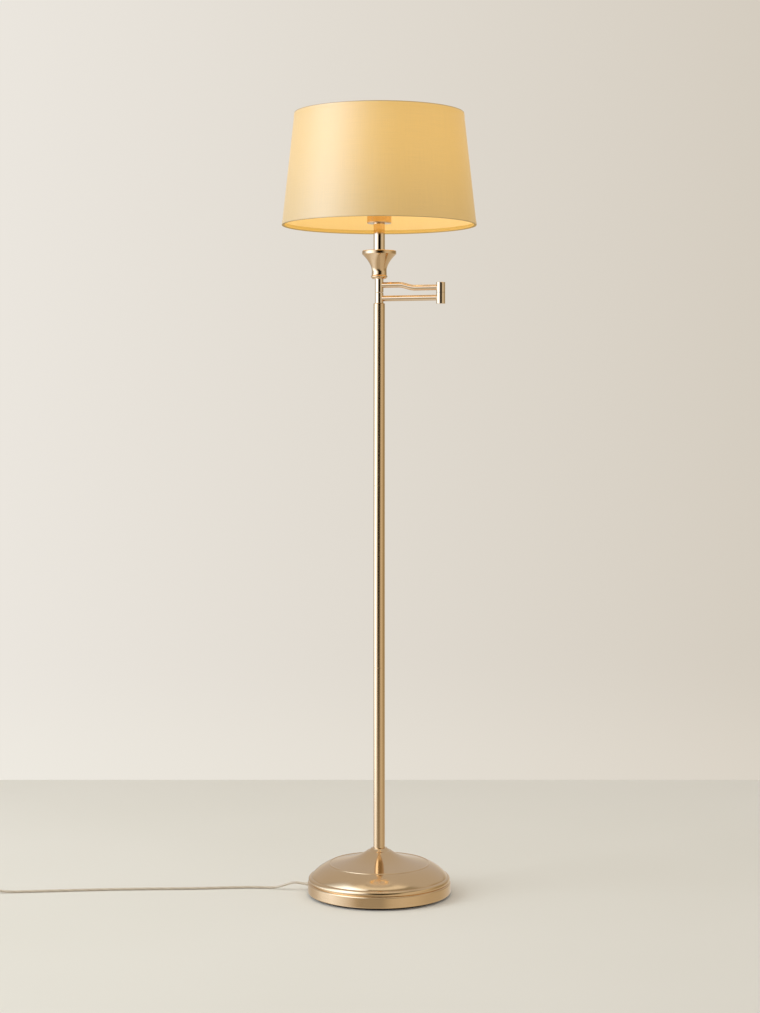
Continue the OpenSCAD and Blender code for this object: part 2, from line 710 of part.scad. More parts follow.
module lampholder_body() color(CREAM) difference() {
    translate([0, 0, holder_z]) cylinder(d = holder_d, h = holder_h);
    translate([0, 0, holder_z + holder_floor]) cylinder(r = holder_bore_r, h = holder_h);
    translate([0, 0, holder_z - cut]) cylinder(r = stud_r + fit, h = rod_in_holder + cut);
}

module lampholder_contact() color(BRIGHT)
    translate([0, 0, holder_z + holder_floor]) cylinder(r = 4, h = contact_h);

module shade_ring_nuts() color(CREAM)
    for (z = [ring_nut_z, fitting_z + fitting_h])
        ring(ring_nut_r, holder_d / 2 + fit, z, ring_nut_h);

// Shade

// Inner radius of the shade's lining at a height above the shade's lower edge
function shade_in(h) = shade_low_d / 2 - skin_t - (shade_low_d - shade_top_d) / 2 * h / shade_h;

// A slanted skin between two depths below the shade's outside
module shade_skin(depth, t, low, high)
    lathe([for (q = [[depth + t, low], [depth, low], [depth, high], [depth + t, high]])
        [shade_in(q.y) + skin_t - q.x, shade_z + q.y]]);

module shade_fabric() color(CREAM) shade_skin(0, cloth_t, 0, shade_h);
module shade_lining() color(CREAM) shade_skin(cloth_t + glue_t, lining_t, 0.5, shade_h - 0.5);

function wire_ring_r(h) = shade_in(h) - 1.02 * wire_r - fit;
module shade_wire(h) color("white") translate([0, 0, shade_z + h])
    rotate_extrude() translate([wire_ring_r(h), 0]) circle(wire_r, $fn = 32);
module shade_wire_lower() shade_wire(wire_inset);
module shade_wire_upper() shade_wire(shade_h - wire_inset);

// The fitting's centre ring and its three arms, which are welded to the lower wire
module shade_spider() {
    hub_r = ring_nut_r + 2.5;
    inner = [hub_r - 1.5, fitting_z + fitting_h / 2];
    outer = [wire_ring_r(wire_inset), shade_z + wire_inset];
    reach = norm(outer - inner);
    tilt = atan2(inner.y - outer.y, outer.x - inner.x);
    color("white") {
        ring(hub_r, holder_d / 2 + 2 * fit, fitting_z, fitting_h);
        for (az = [90, 210, 330]) rotate([0, 0, az]) difference() {
            translate([inner.x, 0, inner.y]) rotate([0, 90 + tilt, 0]) cylinder(r = wire_r, h = reach);
            translate([0, 0, fitting_z - 20]) cylinder(r = ring_nut_r + 1, h = 40);
        }
    }
}

// Bulb

module bulb_cap() {
    r = bulb_cap_d / 2;
    color(STEEL) lathe([
        [0, bulb_z], [4.5, bulb_z], [5.5, bulb_z + 1.5], [r - 1, bulb_z + 4], [r, bulb_z + 5],
        [r, bulb_z + bulb_cap_h], [r - 1, bulb_z + bulb_cap_h], [r - 1, bulb_z + bulb_cap_h - 4],
        [0, bulb_z + bulb_cap_h - 4]]);
}

module bulb_glass() {
    r = bulb_d / 2;
    neck = bulb_cap_d / 2 - 1 - fit;
    foot = bulb_z + bulb_cap_h - 4;
    centre = bulb_z + bulb_len - r;
    wall = 1;
    low = -38;                          // angle at which the round bulb passes in to its neck
    shoulder_x = r * cos(low);
    shoulder_z = centre + r * sin(low);
    throat = [for (i = [1:9]) let (t = i / 10, s = t * t * (3 - 2 * t))
        [neck + (shoulder_x - neck) * s * (1 + 0.25 * (1 - s)),
         foot + 4 + (shoulder_z - foot - 4) * t]];
    outer = concat([[neck, foot], [neck, foot + 4]], throat, arc(0, centre, r, low, 90, 18));
    inner = concat(
        arc(0, centre, r - wall, 90, low, 18),
        [for (p = reversed(throat)) [p.x - wall, p.y]],
        [[neck - wall, foot + 4], [neck - wall, foot]]);
    color("white", 0.8) lathe(concat(outer, inner));
}

// Flex on the floor

module cord_run() color(FLEX) swept_tube(smooth_line(run_points, run_steps), flex_r, 10, [0, 0, 1]);
module cord_lead() color(FLEX) swept_tube(lead_points, flex_r, 10, [0, 0, 1]);
module cord_tail() color(FLEX) swept_tube(tail_points, flex_r, 10, [0, 0, 1]);

// The coil's centre line at so many turns from its start: it spirals in on the floor,
// climbs a layer in the half turn where it reverses, and spirals out again.
function coil_point(t) =
    let (half = coil_turns / 2,
         r = coil_in + coil_pitch * abs(t - half),
         climb = min(max((t - half) / coil_climb + 0.5, 0), 1),
         a = coil_first_angle + 360 * t)
    [coil_at.x + r * cos(a), coil_at.y + r * sin(a), coil_z + coil_pitch * climb];
coil_line = concat(
    [coil_point(0) + [flex_d, 0, 0]],
    [for (i = [0:coil_turns * loop_rings]) coil_point(i / loop_rings)],
    [coil_point(coil_turns) - [0, flex_d, 0]]);
coil_length = [for (i = [1:len(coil_line) - 1]) norm(coil_line[i] - coil_line[i - 1])];
coil_least = min([for (i = [0:len(coil_line) - 1], j = [0:len(coil_line) - 1])
    if (j - i > loop_rings / 2) norm(coil_line[i] - coil_line[j])]) - flex_d;
echo(str("Length of flex in the coil: ", coil_length * [for (s = coil_length) 1], " mm"));
echo(str("Least gap of the coil to itself: ", coil_least, " mm"));

module cord_coil() color(FLEX) swept_tube(coil_line, flex_r, 6, [0, 0, 1]);

// A strap round the coil's bundle of turns, on the side towards the lamp's front
module cord_tie() {
    loose = 0.6;
    inner = coil_in - flex_r;
    outer = coil_out - coil_pitch / 2 + flex_r + loose;
    top = coil_z + coil_pitch + flex_r + 0.3;
    color(IRON) translate([coil_at.x, coil_at.y, 0]) rotate([0, 0, 90]) difference() {
        translate([-outer - tie_t, -tie_w / 2, 0]) cube([outer - inner + 2 * tie_t, tie_w, top + tie_t]);
        translate([-outer, -tie_w / 2 - cut, tie_t]) cube([outer - inner, tie_w + 2 * cut, top - tie_t]);
    }
}

// Foot switch, in its own place with X along the flex

module at_switch() translate(switch_at) children();

module stadium(inset, z, h) {
    r = switch_w / 2 - inset;
    span = switch_len - switch_w;
    translate([0, 0, z]) linear_extrude(h) union() {
        translate([-span / 2, 0]) circle(r);
        translate([span / 2, 0]) circle(r);
        square([span, 2 * r], center = true);
    }
}

module switch_glands()
    for (side = [-1, 1]) translate([side * (switch_len / 2 - 1), 0, switch_cord_z])
        rotate([0, side * 90, 0]) cylinder(r1 = 5.4, r2 = 3.3, h = switch_gland_len + 1);

module switch_cord_holes()
    translate([-switch_len, 0, switch_cord_z]) rotate([0, 90, 0])
        cylinder(r = flex_r + fit, h = 2 * switch_len);

module switch_base() color(GOLD_PLASTIC) at_switch() difference() {
    union() {
        difference() {
            union() {
                stadium(0, 0, switch_part_z);
                switch_glands();
            }
            stadium(switch_wall, switch_wall, switch_h);
        }
        for (p = screw_places) translate([p.x, p.y, switch_wall / 2])
            cylinder(r = pillar_r, h = switch_part_z - switch_wall / 2);
    }
    translate([-switch_len, -switch_w, switch_part_z]) cube([2 * switch_len, 2 * switch_w, switch_h]);
    switch_cord_holes();
    for (p = screw_places) translate([p.x, p.y, -cut]) {
        cylinder(r = screw_r + fit, h = switch_h);
        cylinder(r = screw_head_r + fit, h = screw_head_h + cut);
    }
}

module switch_cover() color(GOLD_PLASTIC) at_switch() difference() {
    union() {
        difference() {
            union() {
                stadium(0, switch_part_z, switch_h - switch_part_z - 3);
                hull() {
                    stadium(0, switch_h - 3, 0.01, $fn = 32);
                    stadium(0.9, switch_h - 0.9, 0.01, $fn = 32);
                    stadium(3, switch_h - 0.01, 0.01, $fn = 32);
                }
                switch_glands();
            }
            stadium(switch_wall, 0, switch_h - switch_wall);
        }
        for (p = screw_places) translate([p.x, p.y, switch_part_z])
            cylinder(r = pillar_r, h = switch_h - switch_wall - switch_part_z);
    }
    translate([-switch_len, -switch_w, -cut]) cube([2 * switch_len, 2 * switch_w, switch_part_z + cut]);
    translate([0, 0, switch_h / 2]) cylinder(r = button_r + 0.3, h = switch_h);
    switch_cord_holes();
    for (p = screw_places) translate([p.x, p.y, 0]) cylinder(r = screw_r + fit, h = switch_part_z + 6);
}

module switch_contact_block() color(BLACK) at_switch()
    translate([0, 0, switch_wall]) cylinder(r = block_r, h = block_top - switch_wall);

module switch_button() color(CREAM) at_switch() {
    top = switch_h + button_rise;
    lathe(concat(
        [[0, button_z], [button_r + button_flange, button_z],
         [button_r + button_flange, button_z + button_flange_h], [button_r, button_z + button_flange_h]],
        arc(button_r - 2, top - 2, 2, 0, 60, 4),
        [[button_r - 4, top - 0.1], [0, top]]));
}

// The spring under the button
module switch_spring() {
    z0 = block_top + spring_wire_r + fit;
    z1 = button_z - spring_wire_r - fit;
    line = [for (i = [0:8 * spring_turns]) let (t = i / 8)
        [spring_r * cos(360 * t), spring_r * sin(360 * t), z0 + (z1 - z0) * t / spring_turns]];
    color(STEEL) at_switch() swept_tube(line, spring_wire_r, 6, [0, 0, 1]);
}

module switch_screws() color(STEEL) at_switch()
    for (p = screw_places) translate([p.x, p.y, 0]) {
        translate([0, 0, 0.4]) cylinder(r = screw_head_r, h = screw_head_h - 0.4);
        translate([0, 0, 0.4]) cylinder(r = screw_r, h = switch_part_z + 5);
    }

// Plug, lying flat. Its X runs along its pins, which point to the lamp's front.

module at_plug() translate(plug_at) rotate([0, 0, -90]) children();

module plug_body() color(FLEX) at_plug() difference() {
    union() {
        hull() {
            for (side = [-1, 1]) {
                translate([-14, side * (plug_w - plug_t) / 2, 0]) rotate([0, 90, 0])
                    cylinder(d = plug_t, h = 14, $fn = 32);
                translate([-plug_len, side * 3, 0]) rotate([0, 90, 0])
                    cylinder(d = 11, h = 4, $fn = 32);
            }
        }
        translate([-plug_len - plug_relief_len, 0, 0]) rotate([0, 90, 0])
            cylinder(r1 = flex_r + 0.9, r2 = 5.2, h = plug_relief_len + 1);
    }
    translate([-plug_len - plug_relief_len - cut, 0, 0]) rotate([0, 90, 0])
        cylinder(r = flex_r + fit, h = 8 + cut);
}

module plug_pins() color(BRIGHT) at_plug()
    for (side = [-1, 1]) translate([0, side * plug_pin_gap / 2, 0]) rotate([0, 90, 0]) {
        cylinder(d = plug_pin_d, h = plug_pin_len - 1);
        translate([0, 0, plug_pin_len - 1]) cylinder(d1 = plug_pin_d, d2 = plug_pin_d - 2, h = 1);
    }

base_cover();
base_foot_pad();
base_plate();
base_weight();
base_stud();
base_spacer();
base_nut();
cord_grommet();
flex_in_pole();
pole_tube_lower();
pole_tube_middle();
pole_tube_upper();
pole_foot_bush();
pole_couplers();
pole_top_bush();
pivot_washer();
lower_hub();
spindle_nut();
lower_arm_tube();
flex_lower_arm();
elbow_knuckle_lower();
elbow_pin();
elbow_cap_lower();
elbow_washer();
elbow_nut();
elbow_knuckle_upper();
elbow_cap_upper();
upper_arm_tube();
flex_upper_arm();
head_hub();
head_rod();
trumpet_cup();
stem_tube();
holder_cup();
holder_nut();
lampholder_body();
lampholder_contact();
shade_ring_nuts();
shade_spider();
shade_wire_lower();
shade_wire_upper();
shade_fabric();
shade_lining();
bulb_cap();
bulb_glass();
cord_run();
switch_base();
switch_cover();
switch_contact_block();
switch_button();
switch_spring();
switch_screws();
cord_lead();
cord_coil();
cord_tie();
cord_tail();
plug_body();
plug_pins();
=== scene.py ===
# Looks of the swing-arm floor lamp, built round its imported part. Lengths are in metres, in the
# part's own frame: Z up, the front towards -Y, the pole's axis on X = Y = 0.
import bpy
import math
import numpy as np
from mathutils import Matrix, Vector


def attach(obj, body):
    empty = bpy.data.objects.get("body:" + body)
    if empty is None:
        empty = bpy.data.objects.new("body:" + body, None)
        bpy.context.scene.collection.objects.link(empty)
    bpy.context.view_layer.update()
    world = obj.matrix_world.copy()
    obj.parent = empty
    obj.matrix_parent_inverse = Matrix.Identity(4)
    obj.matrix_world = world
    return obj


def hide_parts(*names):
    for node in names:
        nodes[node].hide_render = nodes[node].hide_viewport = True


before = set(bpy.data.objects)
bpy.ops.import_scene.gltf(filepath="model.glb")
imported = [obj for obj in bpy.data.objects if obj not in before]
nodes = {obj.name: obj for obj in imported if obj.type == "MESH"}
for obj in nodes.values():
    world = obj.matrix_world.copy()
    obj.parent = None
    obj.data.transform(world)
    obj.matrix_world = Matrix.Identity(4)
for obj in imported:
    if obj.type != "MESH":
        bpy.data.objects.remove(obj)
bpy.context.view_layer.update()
scene = bpy.context.scene

# ---------------------------------------------------------------- camera

# Level, at the photograph's height and distance, with its frame shifted down.
CAMERA_AT = (0.0015, -3.847, 0.9203)
SENSOR_MM, LENS_MM, SHIFT_DOWN = 36.0, 71.08, 0.0903

cam_data = bpy.data.cameras.new("camera")
cam_data.sensor_width = SENSOR_MM
cam_data.sensor_fit = "AUTO"
cam_data.lens = LENS_MM
cam_data.shift_y = -SHIFT_DOWN
camera = bpy.data.objects.new("camera", cam_data)
camera.location = CAMERA_AT
camera.rotation_euler = (math.radians(90), 0, 0)
scene.collection.objects.link(camera)
scene.camera = camera

# ---------------------------------------------------------------- mesh helpers


def new_object(name, verts, faces, uvs=None, sharp_deg=32):
    """A smooth-shaded mesh object, with sharp edges where faces meet at more than sharp_deg."""
    mesh = bpy.data.meshes.new(name)
    mesh.from_pydata([tuple(v) for v in verts], [], faces)
    if uvs is not None:
        layer = mesh.uv_layers.new(name="UVMap")
        flat = np.array([uvs[f][k] for f in range(len(faces)) for k in range(len(faces[f]))])
        layer.data.foreach_set("uv", flat.astype(np.float32).ravel())
    mesh.validate()
    mesh.shade_smooth()
    mesh.set_sharp_from_angle(angle=math.radians(sharp_deg))
    obj = bpy.data.objects.new(name, mesh)
    scene.collection.objects.link(obj)
    return obj


def arc(cx, cz, r, a0, a1, n):
    """Points of an arc in a profile, from a0 to a1 degrees."""
    return [(cx + r * math.cos(math.radians(a0 + (a1 - a0) * i / n)),
             cz + r * math.sin(math.radians(a0 + (a1 - a0) * i / n))) for i in range(n + 1)]


def soften(points, r, least_turn=25, n=3):
    """A closed profile with its sharp corners rounded to radius r."""
    out, count = [], len(points)
    for i, p in enumerate(points):
        a, b, c = Vector(points[i - 1]), Vector(p), Vector(points[(i + 1) % count])
        u, v = a - b, c - b
        if u.length < 1e-9 or v.length < 1e-9:
            continue
        turn = 180 - math.degrees(u.angle(v))
        if turn < least_turn:
            out.append((b.x, b.y))
            continue
        cut = min(r * math.tan(math.radians(turn) / 2), 0.4 * u.length, 0.4 * v.length)
        p0, p1 = b + u.normalized() * cut, b + v.normalized() * cut
        for k in range(n + 1):
            t = k / n
            q = p0 * (1 - t) ** 2 + b * 2 * t * (1 - t) + p1 * t ** 2
            out.append((q.x, q.y))
    return out


def hold(points, d=0.0002, long=0.003):
    """A closed profile with points close to both ends of its long straight parts, so that smooth
    shading keeps those parts straight."""
    out, count = [], len(points)
    size = [(Vector(points[(i + 1) % count]) - Vector(points[i])).length for i in range(count)]
    for i, p in enumerate(points):
        out.append(p)
        if size[i] > long and min(size[i - 1], size[(i + 1) % count]) < 0.4 * size[i]:
            a, b = Vector(p), Vector(points[(i + 1) % count])
            for t in (d / size[i], 1 - d / size[i]):
                q = a.lerp(b, t)
                out.append((q.x, q.y))
    return out


def lathe(name, profile, segments, sharp_deg=32):
    """A solid of revolution about the pole's axis, from a closed profile of (radius, height)."""
    profile = hold(profile)
    turns = [2 * math.pi * k / segments for k in range(segments)]
    verts = [(r * math.cos(a), r * math.sin(a), z) for r, z in profile for a in turns]
    faces = []
    for i in range(len(profile)):
        low, high = i * segments, (i + 1) % len(profile) * segments
        for k in range(segments):
            j = (k + 1) % segments
            faces.append((low + k, low + j, high + j, high + k))
    return new_object(name, verts, faces, sharp_deg=sharp_deg)


def catmull(points, steps):
    """A smooth line through the points, with steps pieces between each two."""
    p = [Vector(q) for q in points]
    out = []
    for i in range(len(p) - 1):
        a, b, c, d = p[max(i - 1, 0)], p[i], p[i + 1], p[min(i + 2, len(p) - 1)]
        for k in range(steps):
            t = k / steps
            out.append(0.5 * ((2 * b) + (c - a) * t + (2 * a - 5 * b + 4 * c - d) * t * t
                              + (3 * b - a - 3 * c + d) * t ** 3))
    return out + [p[-1]]


def sweep(name, line, radius, sides, sharp_deg=40):
    """A closed tube along a line. Its UV map holds (turn round the tube, metres along it)."""
    pts = [Vector(p) for p in line]
    tangents = [(pts[min(i + 1, len(pts) - 1)] - pts[max(i - 1, 0)]).normalized()
                for i in range(len(pts))]
    side = tangents[0].cross(Vector((0, 0, 1)))
    if side.length < 1e-3:
        side = tangents[0].cross(Vector((0, 1, 0)))
    side.normalize()
    verts, along, total = [], [], 0.0
    for i, (p, t) in enumerate(zip(pts, tangents)):
        if i:
            total += (p - pts[i - 1]).length
            side = (side - t * side.dot(t)).normalized()
        up = side.cross(t)
        along.append(total)
        for k in range(sides):
            a = 2 * math.pi * k / sides
            verts.append(p + (side * math.cos(a) + up * math.sin(a)) * radius)
    faces, uvs = [], []
    for i in range(len(pts) - 1):
        for k in range(sides):
            j = (k + 1) % sides
            a, b = i * sides, (i + 1) * sides
            faces.append((a + k, a + j, b + j, b + k))
            u0, u1 = k / sides, (k + 1) / sides
            uvs.append([(u0, along[i]), (u1, along[i]), (u1, along[i + 1]), (u0, along[i + 1])])
    last = (len(pts) - 1) * sides
    faces.append(tuple(reversed(range(sides))))
    uvs.append([(0.0, 0.0)] * sides)
    faces.append(tuple(range(last, last + sides)))
    uvs.append([(0.0, total)] * sides)
    return new_object(name, verts, faces, uvs, sharp_deg)


# ---------------------------------------------------------------- material helpers


class Shader:
    """A node material under construction, with short calls for the nodes that it uses."""

    def __init__(self, name):
        self.mat = bpy.data.materials.new(name)
        self.mat.use_nodes = True
        self.tree = self.mat.node_tree
        self.tree.nodes.clear()
        self.out = self.tree.nodes.new("ShaderNodeOutputMaterial")
        self.bsdf = self.tree.nodes.new("ShaderNodeBsdfPrincipled")
        self.link(self.bsdf.outputs["BSDF"], self.out.inputs["Surface"])

    def link(self, a, b):
        self.tree.links.new(a, b)

    def put(self, socket, value):
        if isinstance(value, bpy.types.NodeSocket):
            self.link(value, socket)
        elif value is not None:
            socket.default_value = value

    def math(self, op, a, b=None):
        n = self.tree.nodes.new("ShaderNodeMath")
        n.operation = op
        self.put(n.inputs[0], a)
        self.put(n.inputs[1], b)
        return n.outputs[0]

    def plus(self, a, b):
        return self.math("ADD", a, b)

    def minus(self, a, b):
        return self.math("SUBTRACT", a, b)

    def times(self, a, b):
        return self.math("MULTIPLY", a, b)

    def split(self, output):
        """The three numbers of one of the texture coordinates."""
        tc = self.tree.nodes.new("ShaderNodeTexCoord")
        sep = self.tree.nodes.new("ShaderNodeSeparateXYZ")
        self.link(tc.outputs[output], sep.inputs[0])
        return tuple(sep.outputs)

    def coords(self):
        """X, Y and Z of the object's own coordinates, in metres."""
        return self.split("Object")

    def polar(self, x, y):
        """The distance from the upright axis and the angle round it."""
        r = self.math("SQRT", self.plus(self.times(x, x), self.times(y, y)))
        return r, self.math("ARCTAN2", y, x)

    def vector(self, x, y, z):
        n = self.tree.nodes.new("ShaderNodeCombineXYZ")
        for i, v in enumerate((x, y, z)):
            self.put(n.inputs[i], v)
        return n.outputs[0]

    def noise(self, vec, scale, detail=3.0, rough=0.55):
        n = self.tree.nodes.new("ShaderNodeTexNoise")
        self.link(vec, n.inputs["Vector"])
        n.inputs["Scale"].default_value = scale
        n.inputs["Detail"].default_value = detail
        n.inputs["Roughness"].default_value = rough
        return n.outputs[0]

    def span(self, value, f0, f1, t0, t1, smooth=False):
        """The value, with the span from f0 to f1 mapped to t0 to t1 and held beyond its ends."""
        n = self.tree.nodes.new("ShaderNodeMapRange")
        n.interpolation_type = "SMOOTHSTEP" if smooth else "LINEAR"
        self.link(value, n.inputs[0])
        for i, v in zip((1, 2, 3, 4), (f0, f1, t0, t1)):
            self.put(n.inputs[i], v)
        return n.outputs[0]

    def mix(self, share, a, b, blend="MIX"):
        n = self.tree.nodes.new("ShaderNodeMix")
        n.data_type = "RGBA"
        n.blend_type = blend
        for i, v in ((0, share), (6, a), (7, b)):
            self.put(n.inputs[i], v)
        return n.outputs[2]

    def scale_colour(self, colour, factor):
        """The colour times a factor that varies over the surface."""
        return self.mix(1.0, colour, self.vector(factor, factor, factor), "MULTIPLY")

    def bump(self, height, strength, distance):
        n = self.tree.nodes.new("ShaderNodeBump")
        n.inputs["Strength"].default_value = strength
        n.inputs["Distance"].default_value = distance
        self.link(height, n.inputs["Height"])
        self.link(n.outputs[0], self.bsdf.inputs["Normal"])

    def set(self, **values):
        """Set or link the shader's sockets, named with _ for each space."""
        for key, value in values.items():
            self.put(self.bsdf.inputs[key.replace("_", " ")], value)

    def turn_tangent(self):
        """The tangent that runs round the vertical axis, for metal brushed round it."""
        n = self.tree.nodes.new("ShaderNodeTangent")
        n.direction_type = "RADIAL"
        n.axis = "Z"
        self.link(n.outputs[0], self.bsdf.inputs["Tangent"])


def rgb(r, g, b):
    """A colour of the picture, 0 to 255, as a linear one."""
    def lin(c):
        c /= 255
        return c / 12.92 if c <= 0.04045 else ((c + 0.055) / 1.055) ** 2.4
    return (lin(r), lin(g), lin(b), 1.0)


# ---------------------------------------------------------------- materials

BRASS, BRASS_DARK = (0.78, 0.55, 0.315, 1), (0.75, 0.52, 0.28, 1)
BRIGHT_BRASS, BRIGHT_BRASS_DARK = (0.82, 0.62, 0.395, 1), (0.80, 0.60, 0.375, 1)
BRUSH = 2600.0  # brushed lines to a metre
TWISTS, STRANDS = 42.0, 290.0  # of the lead's two cores and of their wires, to a metre
THREAD = 0.00062  # pitch of the shade's threads
CLOTH_R = 0.175  # mean radius of the shade's cloth
RIM_LOW, RIM_TOP = 1.2848, 1.5003  # heights of the shade's rims
BULB = (0.0, 0.0, 1.3915)  # middle of the bulb
PAINTED_GLOW_Z = 1.435  # height at which the cloth's painted glow is strongest
PAINTED_GLOW_R2 = 0.0292  # square of the distance from there at which the painted glow has its set colour


def brass_satin():
    """Lacquered brass, brushed in fine rings round the upright axis."""
    s = Shader("satin_brass")
    x, y, z = s.coords()
    r, turn = s.polar(x, y)
    lines = s.noise(s.vector(s.times(r, BRUSH), s.times(z, BRUSH), s.times(turn, 5.0)),
                    1.0, 4.0, 0.6)
    broad = s.noise(s.vector(x, y, z), 9.0, 3.0)
    s.set(Base_Color=s.mix(s.span(lines, 0.3, 0.7, 0.0, 1.0), BRASS_DARK, BRASS),
          Metallic=1.0, Anisotropic=0.7, Anisotropic_Rotation=0.25,
          Roughness=s.plus(s.span(lines, 0.3, 0.7, 0.12, 0.14),
                           s.span(broad, 0.35, 0.65, 0.0, 0.02)))
    s.turn_tangent()
    s.bump(lines, 0.06, 0.00002)
    return s.mat


def brass_polished():
    """Polished brass with faint smudges and hair scratches."""
    s = Shader("polished_brass")
    x, y, z = s.coords()
    smudge = s.noise(s.vector(x, y, z), 140.0, 4.0)
    hair = s.noise(s.vector(s.times(x, 0.25), s.times(y, 0.25), z), 3800.0, 2.0)
    s.set(Base_Color=s.mix(s.span(smudge, 0.3, 0.7, 0.0, 1.0), BRIGHT_BRASS_DARK, BRIGHT_BRASS),
          Metallic=1.0,
          Roughness=s.plus(s.span(smudge, 0.35, 0.7, 0.05, 0.075),
                           s.span(hair, 0.4, 0.7, 0.0, 0.015)))
    s.bump(hair, 0.03, 0.00001)
    return s.mat


def plain(name, colour, dark, rough, metallic=0.0, grain=900.0, bump=0.15, depth=0.0001, **more):
    """A material of two near colours, its roughness and bump from the same fine grain."""
    s = Shader(name)
    vec = s.vector(*s.coords())
    fine = s.noise(vec, grain, 4.0)
    broad = s.noise(vec, grain / 12, 3.0)
    s.set(Base_Color=s.mix(s.span(broad, 0.35, 0.65, 0.0, 1.0), (*dark, 1), (*colour, 1)),
          Metallic=metallic,
          Roughness=s.span(fine, 0.3, 0.7, rough * 0.85, min(rough * 1.15, 1.0)), **more)
    s.bump(fine, bump, depth)
    return s.mat


def flex_material():
    """A clear gold sleeve over two twisted cores. The sweep's UV map holds the turn round the
    lead and the metres along it."""
    s = Shader("flex_sleeve")
    u, v, _ = s.split("UV")

    def wave(count, per_metre):
        turns = s.plus(s.times(u, count), s.times(v, per_metre))
        return s.math("SINE", s.times(turns, 2 * math.pi))

    twist, strand = wave(2.0, TWISTS), wave(14.0, STRANDS)
    fine = s.noise(s.vector(*s.coords()), 1400.0, 3.0)
    core = s.mix(s.span(twist, -0.5, 0.5, 0.0, 1.0, True),
                 (0.60, 0.50, 0.38, 1), (0.66, 0.565, 0.435, 1))
    s.set(Base_Color=s.scale_colour(core, s.span(strand, -1.0, 1.0, 0.92, 1.0)),
          Roughness=s.span(fine, 0.3, 0.7, 0.22, 0.34), Coat_Weight=0.5, Coat_Roughness=0.12)
    s.bump(s.plus(twist, s.times(strand, 0.3)), 0.08, 0.0002)
    return s.mat


def cloth_material(name, painted_glow_tint, base, coat, specular=0.6):
    """The shade's cloth: a fine plain weave with a painted glow, an emission that stands in for
    the bulb's light shining through it. tint is the colour of that painted glow, and base the
    cloth's own colour."""
    s = Shader(name)
    x, y, z = s.coords()
    r, turn = s.polar(x, y)
    wander = s.times(s.noise(s.vector(s.times(turn, 60.0), z, 0.0), 22.0, 2.0), 3.0)
    warp = s.math("SINE", s.plus(s.times(turn, CLOTH_R * 2 * math.pi / THREAD), wander))
    weft = s.math("SINE", s.plus(s.times(z, 2 * math.pi / THREAD), wander))
    weave = s.plus(s.times(warp, 0.5), s.times(weft, 0.5))
    slub_up = s.noise(s.vector(s.times(turn, 260.0), s.times(z, 14.0), 0.0), 1.0, 3.0)
    slub_round = s.noise(s.vector(s.times(turn, 3.0), s.times(z, 1100.0), 5.0), 1.0, 3.0)
    slub = s.plus(s.times(slub_up, 0.5), s.times(slub_round, 0.5))
    # painted glow, standing in for the bulb's light through the cloth: it falls off with distance,
    # and the doubled rims let less of it through. The rims' own colour is darkened too, as painted
    # shade.
    rise = s.minus(z, PAINTED_GLOW_Z)
    d2 = s.plus(s.times(r, r), s.times(rise, rise))
    glow = s.math("POWER", s.math("DIVIDE", PAINTED_GLOW_R2, d2), 0.5)
    grain = s.times(s.span(weave, -1.0, 1.0, 0.94, 1.04), s.span(slub, 0.3, 0.7, 0.93, 1.07))
    edges = s.times(s.span(z, RIM_LOW, RIM_LOW + 0.0020, 0.6, 1.0, True),
                    s.span(z, RIM_TOP - 0.0025, RIM_TOP, 1.0, 0.4, True))
    light = s.times(s.times(glow, grain), edges)
    # the cloth's colour: random slub tone, times the painted shade at the rims
    shade = s.times(s.span(slub, 0.3, 0.7, 0.93, 1.0), edges)
    s.set(Base_Color=s.scale_colour(base, shade), Roughness=s.span(slub, 0.3, 0.7, 0.50, 0.62),
          Emission_Color=s.scale_colour(painted_glow_tint, light), Emission_Strength=1.0,
          Coat_Weight=coat, Coat_Roughness=0.45, Coat_IOR=1.8, Specular_IOR_Level=specular)
    s.bump(weave, 0.35, 0.0002)
    return s.mat


def bulb_material():
    """Opal glass that gives light."""
    s = Shader("bulb_opal")
    cloud = s.noise(s.vector(*s.coords()), 60.0, 3.0)
    s.set(Base_Color=(0.98, 0.95, 0.88, 1), Roughness=s.span(cloud, 0.3, 0.7, 0.18, 0.26),
          Emission_Color=s.scale_colour((1.0, 0.82, 0.55, 1), s.span(cloud, 0.3, 0.7, 0.92, 1.0)),
          Emission_Strength=1.7)
    return s.mat


# colour, darker colour, roughness, metallic, grain, and what else plain() takes
PLAIN = {
    "zinc_steel": ((0.62, 0.62, 0.64), (0.52, 0.52, 0.53), 0.34, 1.0, 700.0, 0.1),
    "iron": ((0.17, 0.17, 0.18), (0.10, 0.10, 0.10), 0.75, 0.2, 420.0, 0.5, 0.0006),
    # the foam is black, and its colour is set darker still as painted shade for the shadow under
    # the base's overhanging band
    "foam": ((0.008, 0.008, 0.008), (0.004, 0.004, 0.004), 0.98, 0.0, 1500.0, 0.6, 0.0003),
    "black_plastic": ((0.04, 0.04, 0.042), (0.025, 0.025, 0.026), 0.48, 0.0, 1300.0, 0.2),
    "switch_shell": ((0.70, 0.57, 0.38), (0.64, 0.51, 0.33), 0.3, 0.0, 1600.0, 0.12, 0.00008),
    "flex_moulding": ((0.64, 0.54, 0.40), (0.57, 0.47, 0.34), 0.3, 0.0, 1500.0, 0.12, 0.00008),
    "cream_plastic": ((0.90, 0.85, 0.74), (0.86, 0.80, 0.68), 0.36, 0.0, 1300.0, 0.12),
    "white_enamel": ((0.90, 0.89, 0.85), (0.84, 0.82, 0.77), 0.28, 0.0, 500.0, 0.12),
}
EXTRAS = {
    "foam": {"Specular_IOR_Level": 0.0},
    "switch_shell": {"Coat_Weight": 0.3, "Coat_Roughness": 0.2},
    "flex_moulding": {"Coat_Weight": 0.4, "Coat_Roughness": 0.15},
    "white_enamel": {"Coat_Weight": 0.4, "Coat_Roughness": 0.1},
}
